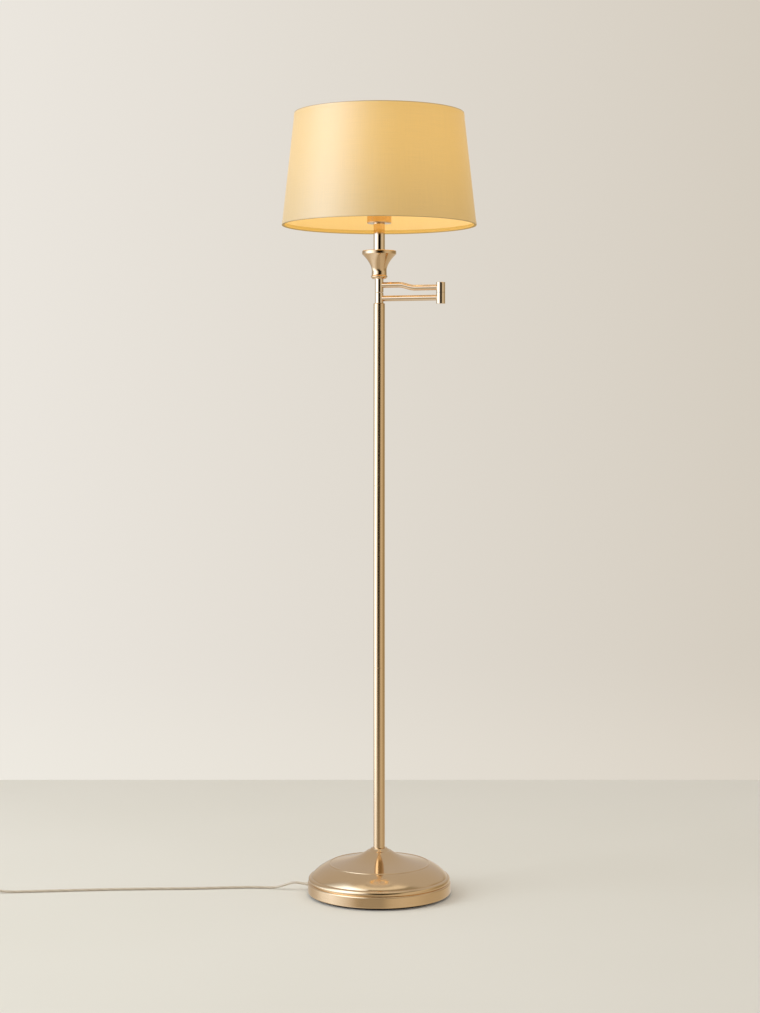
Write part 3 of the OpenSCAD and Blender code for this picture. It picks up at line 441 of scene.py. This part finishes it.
# the colour of the painted glow that stands in for the bulb's light through the cloth, the cloth's
# own colour, its coat and its specular level
CLOTHS = {
    "shade_cloth": ((0.585, 0.29, 0.0, 1), (0.36, 0.325, 0.215, 1), 1.0),
    "shade_backing": ((0.61, 0.355, 0.07, 1), (0.60, 0.51, 0.33, 1), 0.0),
    "shade_hem": ((0.60, 0.32, 0.03, 1), (0.40, 0.32, 0.18, 1), 0.0, 0.2),
}
MATERIALS = {"satin_brass": brass_satin(), "polished_brass": brass_polished(),
             "flex_sleeve": flex_material(), "bulb_opal": bulb_material()}
for name, values in PLAIN.items():
    MATERIALS[name] = plain(name, *values, **EXTRAS.get(name, {}))
for name, values in CLOTHS.items():
    MATERIALS[name] = cloth_material(name, *values)

for obj in nodes.values():
    slot = obj.data.materials[0].name.split(".")[0]
    obj.data.materials.clear()
    obj.data.materials.append(MATERIALS[slot])


def finish_piece(obj, slot, body, *replaced):
    """Give a piece its material and its body, and let it stand for the nodes that it replaces."""
    obj.data.materials.append(MATERIALS[slot])
    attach(obj, body)
    if replaced:
        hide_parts(*replaced)
    return obj


# ---------------------------------------------------------------- cords

# The routes' points are those of the part's source. From here on, every route, profile and size
# is in mm, and MM brings it to metres when it is made into a mesh.
MM = 0.001
FLEX_R = 2.3 * MM
RUN_POINTS = [
    (-142.8, 25.2, 13), (-148, 26.1, 13.2), (-154, 27.2, 14.1), (-161, 28.6, 14.6),
    (-168, 30.1, 13.8), (-175, 31.7, 11.9), (-183, 33.5, 9), (-191, 35.3, 6.2),
    (-200, 37.2, 3.8), (-211, 39.3, 2.6), (-224, 41, 2.4), (-250, 42.6, 2.4),
    (-280, 41, 2.4), (-320, 37, 2.4), (-360, 33.6, 2.4), (-400, 31.4, 2.4),
    (-440, 29.8, 2.4), (-480, 27.8, 2.4), (-520, 25, 2.4), (-560, 21.2, 2.4),
    (-600, 16.8, 2.4), (-640, 12.2, 2.4), (-670, 9, 2.4), (-698, 6.2, 2.4),
    (-712, 5, 2.6), (-724, 4.1, 3.6), (-735, 3.3, 5), (-745, 2.6, 6.3),
    (-754, 2.2, 6.9), (-762, 2, 7), (-774, 2, 7), (-786, 2, 7)]
LEAD_POINTS = [
    (-839, 2, 7), (-850, 2, 7), (-862, 2, 7), (-870, 2, 6.95), (-876, 2, 6.4),
    (-882, 2, 5.1), (-888, 2, 3.8), (-892, 2, 3.1), (-895.4, 2, 2.95)]
TAIL_POINTS = [(-934.4, -37, 8.05), (-934.4, -46, 8), (-934.4, -56, 7.3), (-934.4, -66, 6.8),
               (-934.4, -78, 6.8)]
COIL_AT, COIL_Z = (-900.0, -32.4), 2.95
COIL_TURNS, COIL_IN, COIL_PITCH, COIL_START_DEG = 6.25, 18.5, 5.1, 90
COIL_CLIMB = 0.5  # part of a turn in which the coil changes from its lower layer to its upper one
COIL_STEPS = 48  # points to a turn


def metres(points):
    return [Vector(p) * MM for p in points]


def coil_point(t):
    """A point of the coil after t turns: it winds inwards on the floor and outwards on top."""
    half = COIL_TURNS / 2
    r = COIL_IN + COIL_PITCH * abs(t - half)
    climb = min(max((t - half) / COIL_CLIMB + 0.5, 0.0), 1.0)
    a = math.radians(COIL_START_DEG) + 2 * math.pi * t
    return (COIL_AT[0] + r * math.cos(a), COIL_AT[1] + r * math.sin(a),
            COIL_Z + COIL_PITCH * climb)


run_line = catmull(metres(RUN_POINTS), 4)
coil_line = metres([coil_point(i / COIL_STEPS) for i in range(int(COIL_TURNS * COIL_STEPS) + 1)])
plug_line = catmull(metres(LEAD_POINTS), 4) + coil_line[1:] + catmull(metres(TAIL_POINTS), 6)
run_cord = finish_piece(sweep("flex_to_switch", run_line, FLEX_R, 20), "flex_sleeve", "base",
                        "cord_run")
plug_cord = finish_piece(sweep("flex_to_plug", plug_line, FLEX_R, 16), "flex_sleeve", "base",
                         "cord_lead", "cord_coil", "cord_tail")


# ---------------------------------------------------------------- plug

PLUG_AT = Vector((-934.4, -128.0, 6.8)) * MM
PLUG_LEN, PLUG_HALF_W, PLUG_HALF_T = 36.0, 17.5, 6.8
PLUG_NECK_R, PLUG_FACE_LEN, PLUG_EDGE_R = 5.4, 11.0, 1.2
RELIEF_LEN, RELIEF_R, RELIEF_GROWS, RELIEF_GROOVE, RELIEF_STEPS = 22.0, 3.2, 2.1, 0.55, 41
GROOVE_STEPS = 8  # from the middle of one groove to the next


def ease(t):
    t = min(max(t, 0.0), 1.0)
    return t * t * (3 - 2 * t)


def plug_sections():
    """(place along the pins' line, half width, half thickness) from the flex to the pins' face."""
    start = -PLUG_LEN - RELIEF_LEN
    out = [(start, 2.5, 2.5), (start, RELIEF_R, RELIEF_R)]
    for i in range(1, RELIEF_STEPS):
        r = RELIEF_R + RELIEF_GROWS * i / RELIEF_STEPS
        wave = max(0.0, math.cos(2 * math.pi * i / GROOVE_STEPS)) if 3 < i < 38 else 0.0
        r -= RELIEF_GROOVE * wave
        out.append((start + RELIEF_LEN * i / RELIEF_STEPS, r, r))
    for i in range(0, 21):
        t = i / 20
        out.append((-PLUG_LEN + (PLUG_LEN - PLUG_FACE_LEN) * t,
                    PLUG_NECK_R + (PLUG_HALF_W - PLUG_NECK_R) * ease(t),
                    PLUG_NECK_R + (PLUG_HALF_T - PLUG_NECK_R) * ease(t)))
    for i in range(0, 7):
        a = math.radians(15 * i)
        turned = PLUG_EDGE_R * (1 - math.cos(a))
        out.append((PLUG_EDGE_R * (math.sin(a) - 1), PLUG_HALF_W - turned, PLUG_HALF_T - turned))
    return out


def make_plug(name, sides=48):
    """The plug's shell: flat-sided sections with round ends, skinned from the flex on."""
    verts, faces = [], []
    sections = plug_sections()
    for x, w, t in sections:
        for k in range(sides):
            a = 2 * math.pi * k / sides
            cx = (w - t) * (1 if math.cos(a) > 1e-9 else -1 if math.cos(a) < -1e-9 else 0)
            verts.append(PLUG_AT + Vector((cx + t * math.cos(a), -x, t * math.sin(a))) * MM)
    for i in range(len(sections) - 1):
        for k in range(sides):
            j = (k + 1) % sides
            a, b = i * sides, (i + 1) * sides
            faces.append((a + j, a + k, b + k, b + j))
    last = (len(sections) - 1) * sides
    faces.append(tuple(range(sides)))
    faces.append(tuple(reversed(range(last, last + sides))))
    return new_object(name, verts, faces)


plug = make_plug("plug")
plug.data.materials.append(MATERIALS["flex_moulding"])
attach(plug, "base")
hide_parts("plug_body")
nodes["cord_grommet"].data.materials[0] = MATERIALS["flex_moulding"]

# ---------------------------------------------------------------- flexes inside the tubes

ARM_DIR = Vector((0.961262, -0.275637, 0.0))  # from the pole's axis to the elbow's
FLEX_AZ = math.radians(170)
CORE_R = 1.6 * MM
POLE_FLEX_X, POLE_FLEX_TOP = 0.6, 1095.3
LOWER_Z, UPPER_LOW_Z, UPPER_Z = 1141.6, 1161.2, 1167.4  # levels of the cores in the arms
INNER_ROUTE = [
    (145, 13), (130, 13), (122, 13), (114, 15.6), (106, 22.4), (98, 29), (86, 33), (60, 35),
    (34, 37), (18, 39), (9, 41.4), (4, 44.4), (1.1, 49), (POLE_FLEX_X, 59), (POLE_FLEX_X, 73)]


def on_spoke(r, z):
    """A point at that radius and height in the upright plane that the flex comes in through."""
    return Vector((r * math.cos(FLEX_AZ), r * math.sin(FLEX_AZ), z)) * MM


inner_line = catmull([on_spoke(r, z) for r, z in INNER_ROUTE], 3)
inner_line.append(on_spoke(POLE_FLEX_X, POLE_FLEX_TOP))
finish_piece(sweep("flex_up_pole", inner_line, FLEX_R, 16), "flex_sleeve", "base", "flex_in_pole")


def along_arm(x, z):
    """A point above the folded arm's line, x from the pole's axis and z from the floor."""
    return (ARM_DIR * x + Vector((0, 0, z))) * MM


def rounded(corners, r, steps=8):
    """A line through the corners, each turned with a curve that starts r before it."""
    out = [corners[0]]
    for a, b, c in zip(corners, corners[1:], corners[2:]):
        p0, p1 = b + (a - b).normalized() * r, b + (c - b).normalized() * r
        out += [p0 * (1 - t) ** 2 + b * 2 * t * (1 - t) + p1 * t ** 2
                for t in [k / steps for k in range(steps + 1)]]
    return out + [corners[-1]]


lower_core = rounded([along_arm(-1.4, 1098.3), along_arm(-1.4, LOWER_Z),
                      along_arm(122, LOWER_Z), along_arm(122, 1166.1)], CORE_R)
upper_core = rounded([along_arm(117.2, UPPER_LOW_Z), along_arm(73, UPPER_LOW_Z),
                      along_arm(37, UPPER_Z), along_arm(-1.7, UPPER_Z), along_arm(-1.7, 1301.5)],
                     CORE_R)
finish_piece(sweep("flex_through_lower_arm", lower_core, CORE_R, 12), "flex_sleeve", "lower_arm",
             "flex_lower_arm")
finish_piece(sweep("flex_through_upper_arm", upper_core, CORE_R, 12), "flex_sleeve", "upper_arm",
             "flex_upper_arm")


# ---------------------------------------------------------------- metal

BAND_R, BAND_LOW, BAND_TOP, BAND_EDGE = 136.0, 5.2, 23.6, 0.6
BEAD_R, BEAD_Z, BEAD_SIZE = 129.9, 29.2, 4.9
DOME_R0, DOME_RUN, DOME_Z, DOME_RISE, DOME_POWER = 96.6, 32.8, 33.9, 23.6, 2 / 1.3
RING_R, RING_Z, RING_SIZE = 95.0, 57.3, 1.7
FLARE_R, FLARE_Z = 15.2, 88.0  # where the flare meets the pole
COVER_WALL, COVER_TOP, COVER_SEAT, COVER_HOLE = 1.2, 88.8, 83.8, 11.05
POLE_R, TUBE_WALL, TUBE_LEN, SEAT_Z = 11.0, 1.0, 349.5, 85.3


def mm_profile(points, soft):
    """A closed profile given in mm, in metres and with its corners softened."""
    return soften([(r * MM, z * MM) for r, z in points], soft * MM)


def base_outline():
    """The base cover's outside, from its foot up to the pole."""
    out = [(BAND_R - BAND_EDGE, BAND_LOW), (BAND_R, BAND_LOW + BAND_EDGE),
           (BAND_R, BAND_TOP - BAND_EDGE), (BAND_R - BAND_EDGE, BAND_TOP), (133.1, 24.5)]
    out += arc(BEAD_R, BEAD_Z, BEAD_SIZE, -55, 90, 24)
    for i in range(1, 49):
        a = math.radians(88 - 84 * i / 48)
        out.append((DOME_R0 + DOME_RUN * math.sin(a) ** DOME_POWER,
                    DOME_Z + DOME_RISE * math.cos(a) ** DOME_POWER))
    out += arc(RING_R, RING_Z, RING_SIZE, 5, 140, 14)
    foot_r, foot_z = out[-1]
    for i in range(1, 49):
        t = i / 48
        out.append((foot_r + (FLARE_R - foot_r) * t,
                    foot_z + (FLARE_Z - foot_z) * (0.55 * t + 0.45 * t ** 4)))
    return out + arc(14.0, 87.5, 1.3, 20, 90, 6)


def inset(points, d):
    """The outline moved inwards by d, for a wall of that thickness."""
    out = []
    for i, p in enumerate(points):
        a, b = Vector(points[max(i - 1, 0)]), Vector(points[min(i + 1, len(points) - 1)])
        t = (b - a).normalized()
        out.append((p[0] - t.y * d, p[1] + t.x * d))
    return out


outside = base_outline()
inside = [(max(r, 12.0), min(z, COVER_SEAT)) for r, z in inset(outside, -COVER_WALL)]
del inside[-8:]  # the lip round the pole has no inside of its own
shell = outside + [(COVER_HOLE, COVER_TOP), (COVER_HOLE, COVER_SEAT)] + inside[::-1]
base_shell = lathe("base_shell", [(r * MM, z * MM) for r, z in shell], 256, sharp_deg=50)
finish_piece(base_shell, "satin_brass", "base", "base_cover")


def upright_tube(name, z0, z1, soft, segments):
    """A length of the pole's tube on the pole's axis."""
    r0, r1 = POLE_R - TUBE_WALL, POLE_R
    profile = mm_profile([(r0, z0), (r1, z0), (r1, z1), (r0, z1)], soft)
    return lathe(name, profile, segments)


for k, part in enumerate(("lower", "middle", "upper")):
    z0 = SEAT_Z + k * TUBE_LEN
    finish_piece(upright_tube("pole_" + part, z0, z0 + TUBE_LEN, 0.25, 128), "satin_brass", "base",
                 "pole_tube_" + part)

FOOT_HOLE, FOOT_R, FOOT_H = 17, 126.5, 5.2
foot = lathe("foot_pad", mm_profile([(FOOT_HOLE, 0), (FOOT_R, 0), (FOOT_R, FOOT_H),
                                     (FOOT_HOLE, FOOT_H)], 0.6), 192)
finish_piece(foot, "foam", "base", "base_foot_pad")


CUP_Z, CUP_SEAT_Z, STEM_Z, HOLDER_CUP_Z = 1182.0, 1190.4, 1197.5, 1288.5
ROD_HOLE, CUP_NECK_R, CUP_FLARE, CUP_WALL = 5.05, 14.3, (18.7, 33.0, 1.9), 1.5


def cup_outline():
    """The trumpet cup: a bead at its neck, a flare up to an upright rim, and its inside."""
    wide, high, power = CUP_FLARE
    flare = [(CUP_NECK_R + wide * (i / 32) ** power, 1196.5 + high * i / 32) for i in range(33)]
    out = [(ROD_HOLE, CUP_Z), (13.0, CUP_Z)] + arc(13.0, 1186.5, 3.0, -60, 60, 14)
    out += [(14.6, CUP_SEAT_Z)] + flare + [(33.0, 1235.0), (32.4, 1236.0), (31.5, 1236.0)]
    inner = [(max(12.8, r - CUP_WALL), max(z + 0.9, STEM_Z)) for r, z in reversed(flare)]
    return out + inner + [(12.8, STEM_Z), (ROD_HOLE, STEM_Z)]


cup = lathe("trumpet", [(r * MM, z * MM) for r, z in cup_outline()], 128, sharp_deg=40)
finish_piece(cup, "satin_brass", "upper_arm", "trumpet_cup")
finish_piece(upright_tube("stem", STEM_Z, HOLDER_CUP_Z, 0.2, 96), "polished_brass", "upper_arm",
             "stem_tube")
collar = mm_profile([(ROD_HOLE, HOLDER_CUP_Z), (21.5, HOLDER_CUP_Z)]
                    + arc(21.5, 1290.5, 2.0, -90, 0, 8)[1:]
                    + [(23.5, 1322.5), (22.5, 1322.5), (22.5, 1289.5), (ROD_HOLE, 1289.5)], 0.25)
finish_piece(lathe("lampholder_cup", collar, 96), "satin_brass", "upper_arm", "holder_cup")

# ---------------------------------------------------------------- shade

SHADE_LOW, SHADE_TOP = (187.0, 1284.8), (163.0, 1500.3)  # radius and height of both rims
WIRE_IN, WIRE_UP = 2.99, 1.7  # from the cloth's outside and from the rim to a wire's middle
HEM = 7.8  # width of the turned edges


def shade_r(z):
    """The radius of the shade's outside at a height."""
    t = (z - SHADE_LOW[1]) / (SHADE_TOP[1] - SHADE_LOW[1])
    return SHADE_LOW[0] + (SHADE_TOP[0] - SHADE_LOW[0]) * t


def shade_band(depth0, depth1, z0, z1, rows):
    """A closed band of the shade's slanted skin between two depths from its outside."""
    up = [z0 + (z1 - z0) * i / rows for i in range(rows + 1)]
    return ([((shade_r(z) - depth0) * MM, z * MM) for z in up]
            + [((shade_r(z) - depth1) * MM, z * MM) for z in reversed(up)])


# the cloth and its backing both glow with painted light, made in cloth_material
cloth = lathe("shade_cloth", shade_band(0.0, 0.8, 1284.9, 1500.2, 24), 256)
finish_piece(cloth, "shade_cloth", "upper_arm", "shade_fabric")
backing = lathe("shade_backing", shade_band(0.9, 1.4, 1285.3, 1499.8, 24), 256)
finish_piece(backing, "shade_backing", "upper_arm", "shade_lining")


def edge_roll(name, rim, up):
    """The cloth's turned edge: over the shade's rim, round the wire and back to the lining. up is
    1 where the band runs upwards from its rim and -1 where it runs down."""
    wire = (shade_r(rim + up * WIRE_UP) - WIRE_IN, rim + up * WIRE_UP)

    def level(depth, rise):
        return (shade_r(rim + up * rise) - depth, rim + up * rise)

    def round_wire(r, a0, a1):
        angles = [math.radians(a) for a in range(a0, a1, -10 if a1 < a0 else 10)]
        return [(wire[0] + r * math.cos(a), wire[1] + up * r * math.sin(a)) for a in angles]

    outer = [level(-0.35, HEM), level(-0.35, 0.3), level(0.0, 0.02), level(1.2, 0.0)]
    outer += round_wire(1.72, -90, -240) + [level(1.85, 4.2), level(1.85, HEM)]
    inner = [level(1.45, HEM), level(1.45, 4.0)] + round_wire(1.57, -235, -95)
    inner += [level(1.2, 0.16), level(0.05, 0.2), level(-0.02, 0.5), level(-0.02, HEM)]
    profile = [(r * MM, z * MM) for r, z in outer + inner]
    obj = lathe(name, profile[::-1] if up > 0 else profile, 256)
    # both faces of the turned edge glow with painted light: the outside the cloth's, the inside
    # the hem's
    finish_piece(obj, "shade_cloth", "upper_arm")
    obj.data.materials.append(MATERIALS["shade_hem"])
    for face in obj.data.polygons:
        r = math.hypot(face.center.x, face.center.y)
        face.material_index = 0 if r > (shade_r(face.center.z / MM) + 0.1) * MM else 1
    return obj


hem_top = edge_roll("shade_edge_top", 1500.3, -1)
hem_low = edge_roll("shade_edge_low", 1284.8, 1)

# ---------------------------------------------------------------- floor, lights, surroundings

FLOOR_HALF_W, FLOOR_NEAR, FLOOR_FAR, FLOOR_Z = 6, -4.2, 1.2, -0.0004
floor_mesh = bpy.data.meshes.new("floor")
floor_mesh.from_pydata([(x, y, FLOOR_Z) for x, y in (
    (-FLOOR_HALF_W, FLOOR_NEAR), (FLOOR_HALF_W, FLOOR_NEAR),
    (FLOOR_HALF_W, FLOOR_FAR), (-FLOOR_HALF_W, FLOOR_FAR))], [], [(0, 1, 2, 3)])
floor = bpy.data.objects.new("floor", floor_mesh)
scene.collection.objects.link(floor)
fs = Shader("floor")
mottle = fs.noise(fs.vector(*fs.coords()), 0.9, 2.0)
fs.set(Base_Color=fs.mix(fs.span(mottle, 0.3, 0.7, 0.0, 1.0), rgb(219, 213, 201),
                         rgb(223, 217, 206)),
       Roughness=0.85, Specular_IOR_Level=0.2)
floor_mesh.materials.append(fs.mat)
floor.visible_glossy = False  # metal reflects the world below its horizon instead


def area_light(name, place, target, size, power, colour):
    """A soft light that only lights: metal reflects the world, not the lamp itself."""
    data = bpy.data.lights.new(name, "AREA")
    data.shape = "RECTANGLE"
    data.size, data.size_y = size
    data.energy = power
    data.color = colour
    obj = bpy.data.objects.new(name, data)
    obj.location = place
    obj.rotation_euler = (Vector(target) - Vector(place)).to_track_quat("-Z", "Y").to_euler()
    obj.visible_glossy = False
    obj.visible_camera = False
    scene.collection.objects.link(obj)


area_light("window", (-3.5, -1.3, 2.2), (0, 0, 0.7), (2.0, 2.6), 96.0, (0.80, 0.91, 1.0))
area_light("ceiling", (0.0, 0.0, 3.6), (0, 0, 0), (7.0, 5.0), 100.0, (1.0, 0.97, 0.90))

lamp_data = bpy.data.lights.new("bulb_light", "POINT")
lamp_data.energy = 0.7
lamp_data.color = (1.0, 0.72, 0.42)
lamp_data.shadow_soft_size = 0.034  # metres
lamp = bpy.data.objects.new("bulb_light", lamp_data)
lamp.location = BULB
lamp.visible_camera = lamp.visible_glossy = lamp.visible_transmission = False
scene.collection.objects.link(lamp)
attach(lamp, "upper_arm")

world = bpy.data.worlds.new("studio")
scene.world = world
world.use_nodes = True
wt = world.node_tree
wt.nodes.clear()


class WorldShader(Shader):
    """The same calls on the world's nodes."""

    def __init__(self, tree):
        self.tree = tree


ws = WorldShader(wt)
dx, dy, dz = ws.split("Generated")
azimuth = ws.times(ws.math("ARCTAN2", dx, ws.times(dy, -1.0)), 180 / math.pi)
elevation = ws.times(ws.math("ARCSINE", dz), 180 / math.pi)

# the wall, as the camera sees it, with painted light: paler at the left, towards the window, and
# near the floor
FRAME_EDGE = 0.19  # half the picture's width over its distance
across = ws.math("DIVIDE", dx, ws.math("MAXIMUM", ws.math("ABSOLUTE", dy), 0.2))
rightwards = ws.span(across, -FRAME_EDGE, FRAME_EDGE, 0.0, 1.0)
wall = ws.mix(ws.span(elevation, -10.4, -6.5, 0.55, 0.0, True),
              ws.mix(rightwards, rgb(235, 230, 222), rgb(213, 205, 192)),
              ws.mix(rightwards, rgb(241, 237, 227), rgb(224, 216, 203)))


def window(value, lo, hi, soft):
    """1 between lo and hi, falling to 0 over soft on both sides."""
    return ws.times(ws.span(value, lo - soft, lo, 0.0, 1.0, True),
                    ws.span(value, hi, hi + soft, 1.0, 0.0, True))


# What metal reflects, by compass angle from the camera, positive at the right: a big soft light
# at the left, a dark gap round the camera, the room at the right and the wall behind. The ramp
# holds the lights as shares of PEAK.
PEAK = 4.0
ROOM = [(-180, (0.70, 0.66, 0.60)), (-150, (0.46, 0.44, 0.40)), (-125, (0.50, 0.51, 0.54)),
        (-108, (0.9, 1.05, 1.35)), (-92, (1.9, 2.3, 3.1)), (-70, (2.3, 2.8, 3.9)),
        (-54, (1.75, 2.1, 2.8)), (-36, (1.0, 1.1, 1.35)), (-24, (0.25, 0.22, 0.17)),
        (-16, (0.0, 0.0, 0.0)), (17, (0.0, 0.0, 0.0)), (24, (0.3, 0.27, 0.2)),
        (32, (0.62, 0.58, 0.5)), (50, (0.76, 0.72, 0.66)), (72, (0.70, 0.64, 0.52)),
        (95, (0.42, 0.36, 0.26)), (130, (0.36, 0.31, 0.2)), (150, (0.6, 0.57, 0.5)),
        (180, (0.70, 0.66, 0.60))]
# the gap leans to the right with height
lean = ws.times(ws.minus(elevation, 1.5), 2.2)
lean = ws.math("MINIMUM", ws.math("MAXIMUM", lean, -13.0), 11.0)
ramp = wt.nodes.new("ShaderNodeValToRGB")
ws.link(ws.span(ws.minus(azimuth, lean), -180.0, 180.0, 0.0, 1.0), ramp.inputs[0])
stops = ramp.color_ramp.elements
stops.remove(stops[1])
for i, (angle, light) in enumerate(ROOM):
    stop = stops[0] if i == 0 else stops.new((angle + 180) / 360)
    stop.color = tuple(v / PEAK for v in light) + (1.0,)
around = ws.scale_colour(ramp.outputs[0], PEAK)
front = window(azimuth, -70.0, 70.0, 25.0)
ceiling = ws.mix(front, (0.56, 0.55, 0.56, 1), (0.36, 0.34, 0.30, 1))
bright = ws.times(front, window(elevation, 61.0, 72.0, 6.0))
ceiling = ws.mix(bright, ceiling, (0.95, 0.95, 0.95, 1))
ceiling = ws.mix(ws.span(elevation, 74.0, 82.0, 0.0, 1.0, True), ceiling, (0.66, 0.66, 0.68, 1))
back = ws.span(ws.math("ABSOLUTE", azimuth), 110.0, 140.0, 0.0, 1.0, True)
start = ws.minus(20.0, ws.times(back, 16.0))
up = ws.span(elevation, start, ws.plus(start, 14.0), 0.0, 1.0, True)
left = ws.times(window(azimuth, -112.0, -30.0, 10.0),
                ws.span(elevation, 52.0, 66.0, 1.0, 0.0, True))
below = ws.span(elevation, -14.0, -7.0, 0.8, 0.0, True)
room = ws.mix(up, around, ceiling)
room = ws.mix(left, room, around)
room = ws.mix(below, room, (0.65, 0.60, 0.53, 1))

lp = wt.nodes.new("ShaderNodeLightPath")
seen = ws.math("MAXIMUM", lp.outputs["Is Camera Ray"], lp.outputs["Is Transmission Ray"])
colour = ws.mix(lp.outputs["Is Glossy Ray"], (0.42, 0.415, 0.41, 1), room)
colour = ws.mix(seen, colour, wall)
background = wt.nodes.new("ShaderNodeBackground")
ws.link(colour, background.inputs["Color"])
background.inputs["Strength"].default_value = 1.0
world_out = wt.nodes.new("ShaderNodeOutputWorld")
ws.link(background.outputs[0], world_out.inputs["Surface"])

scene.view_settings.view_transform = "Standard"
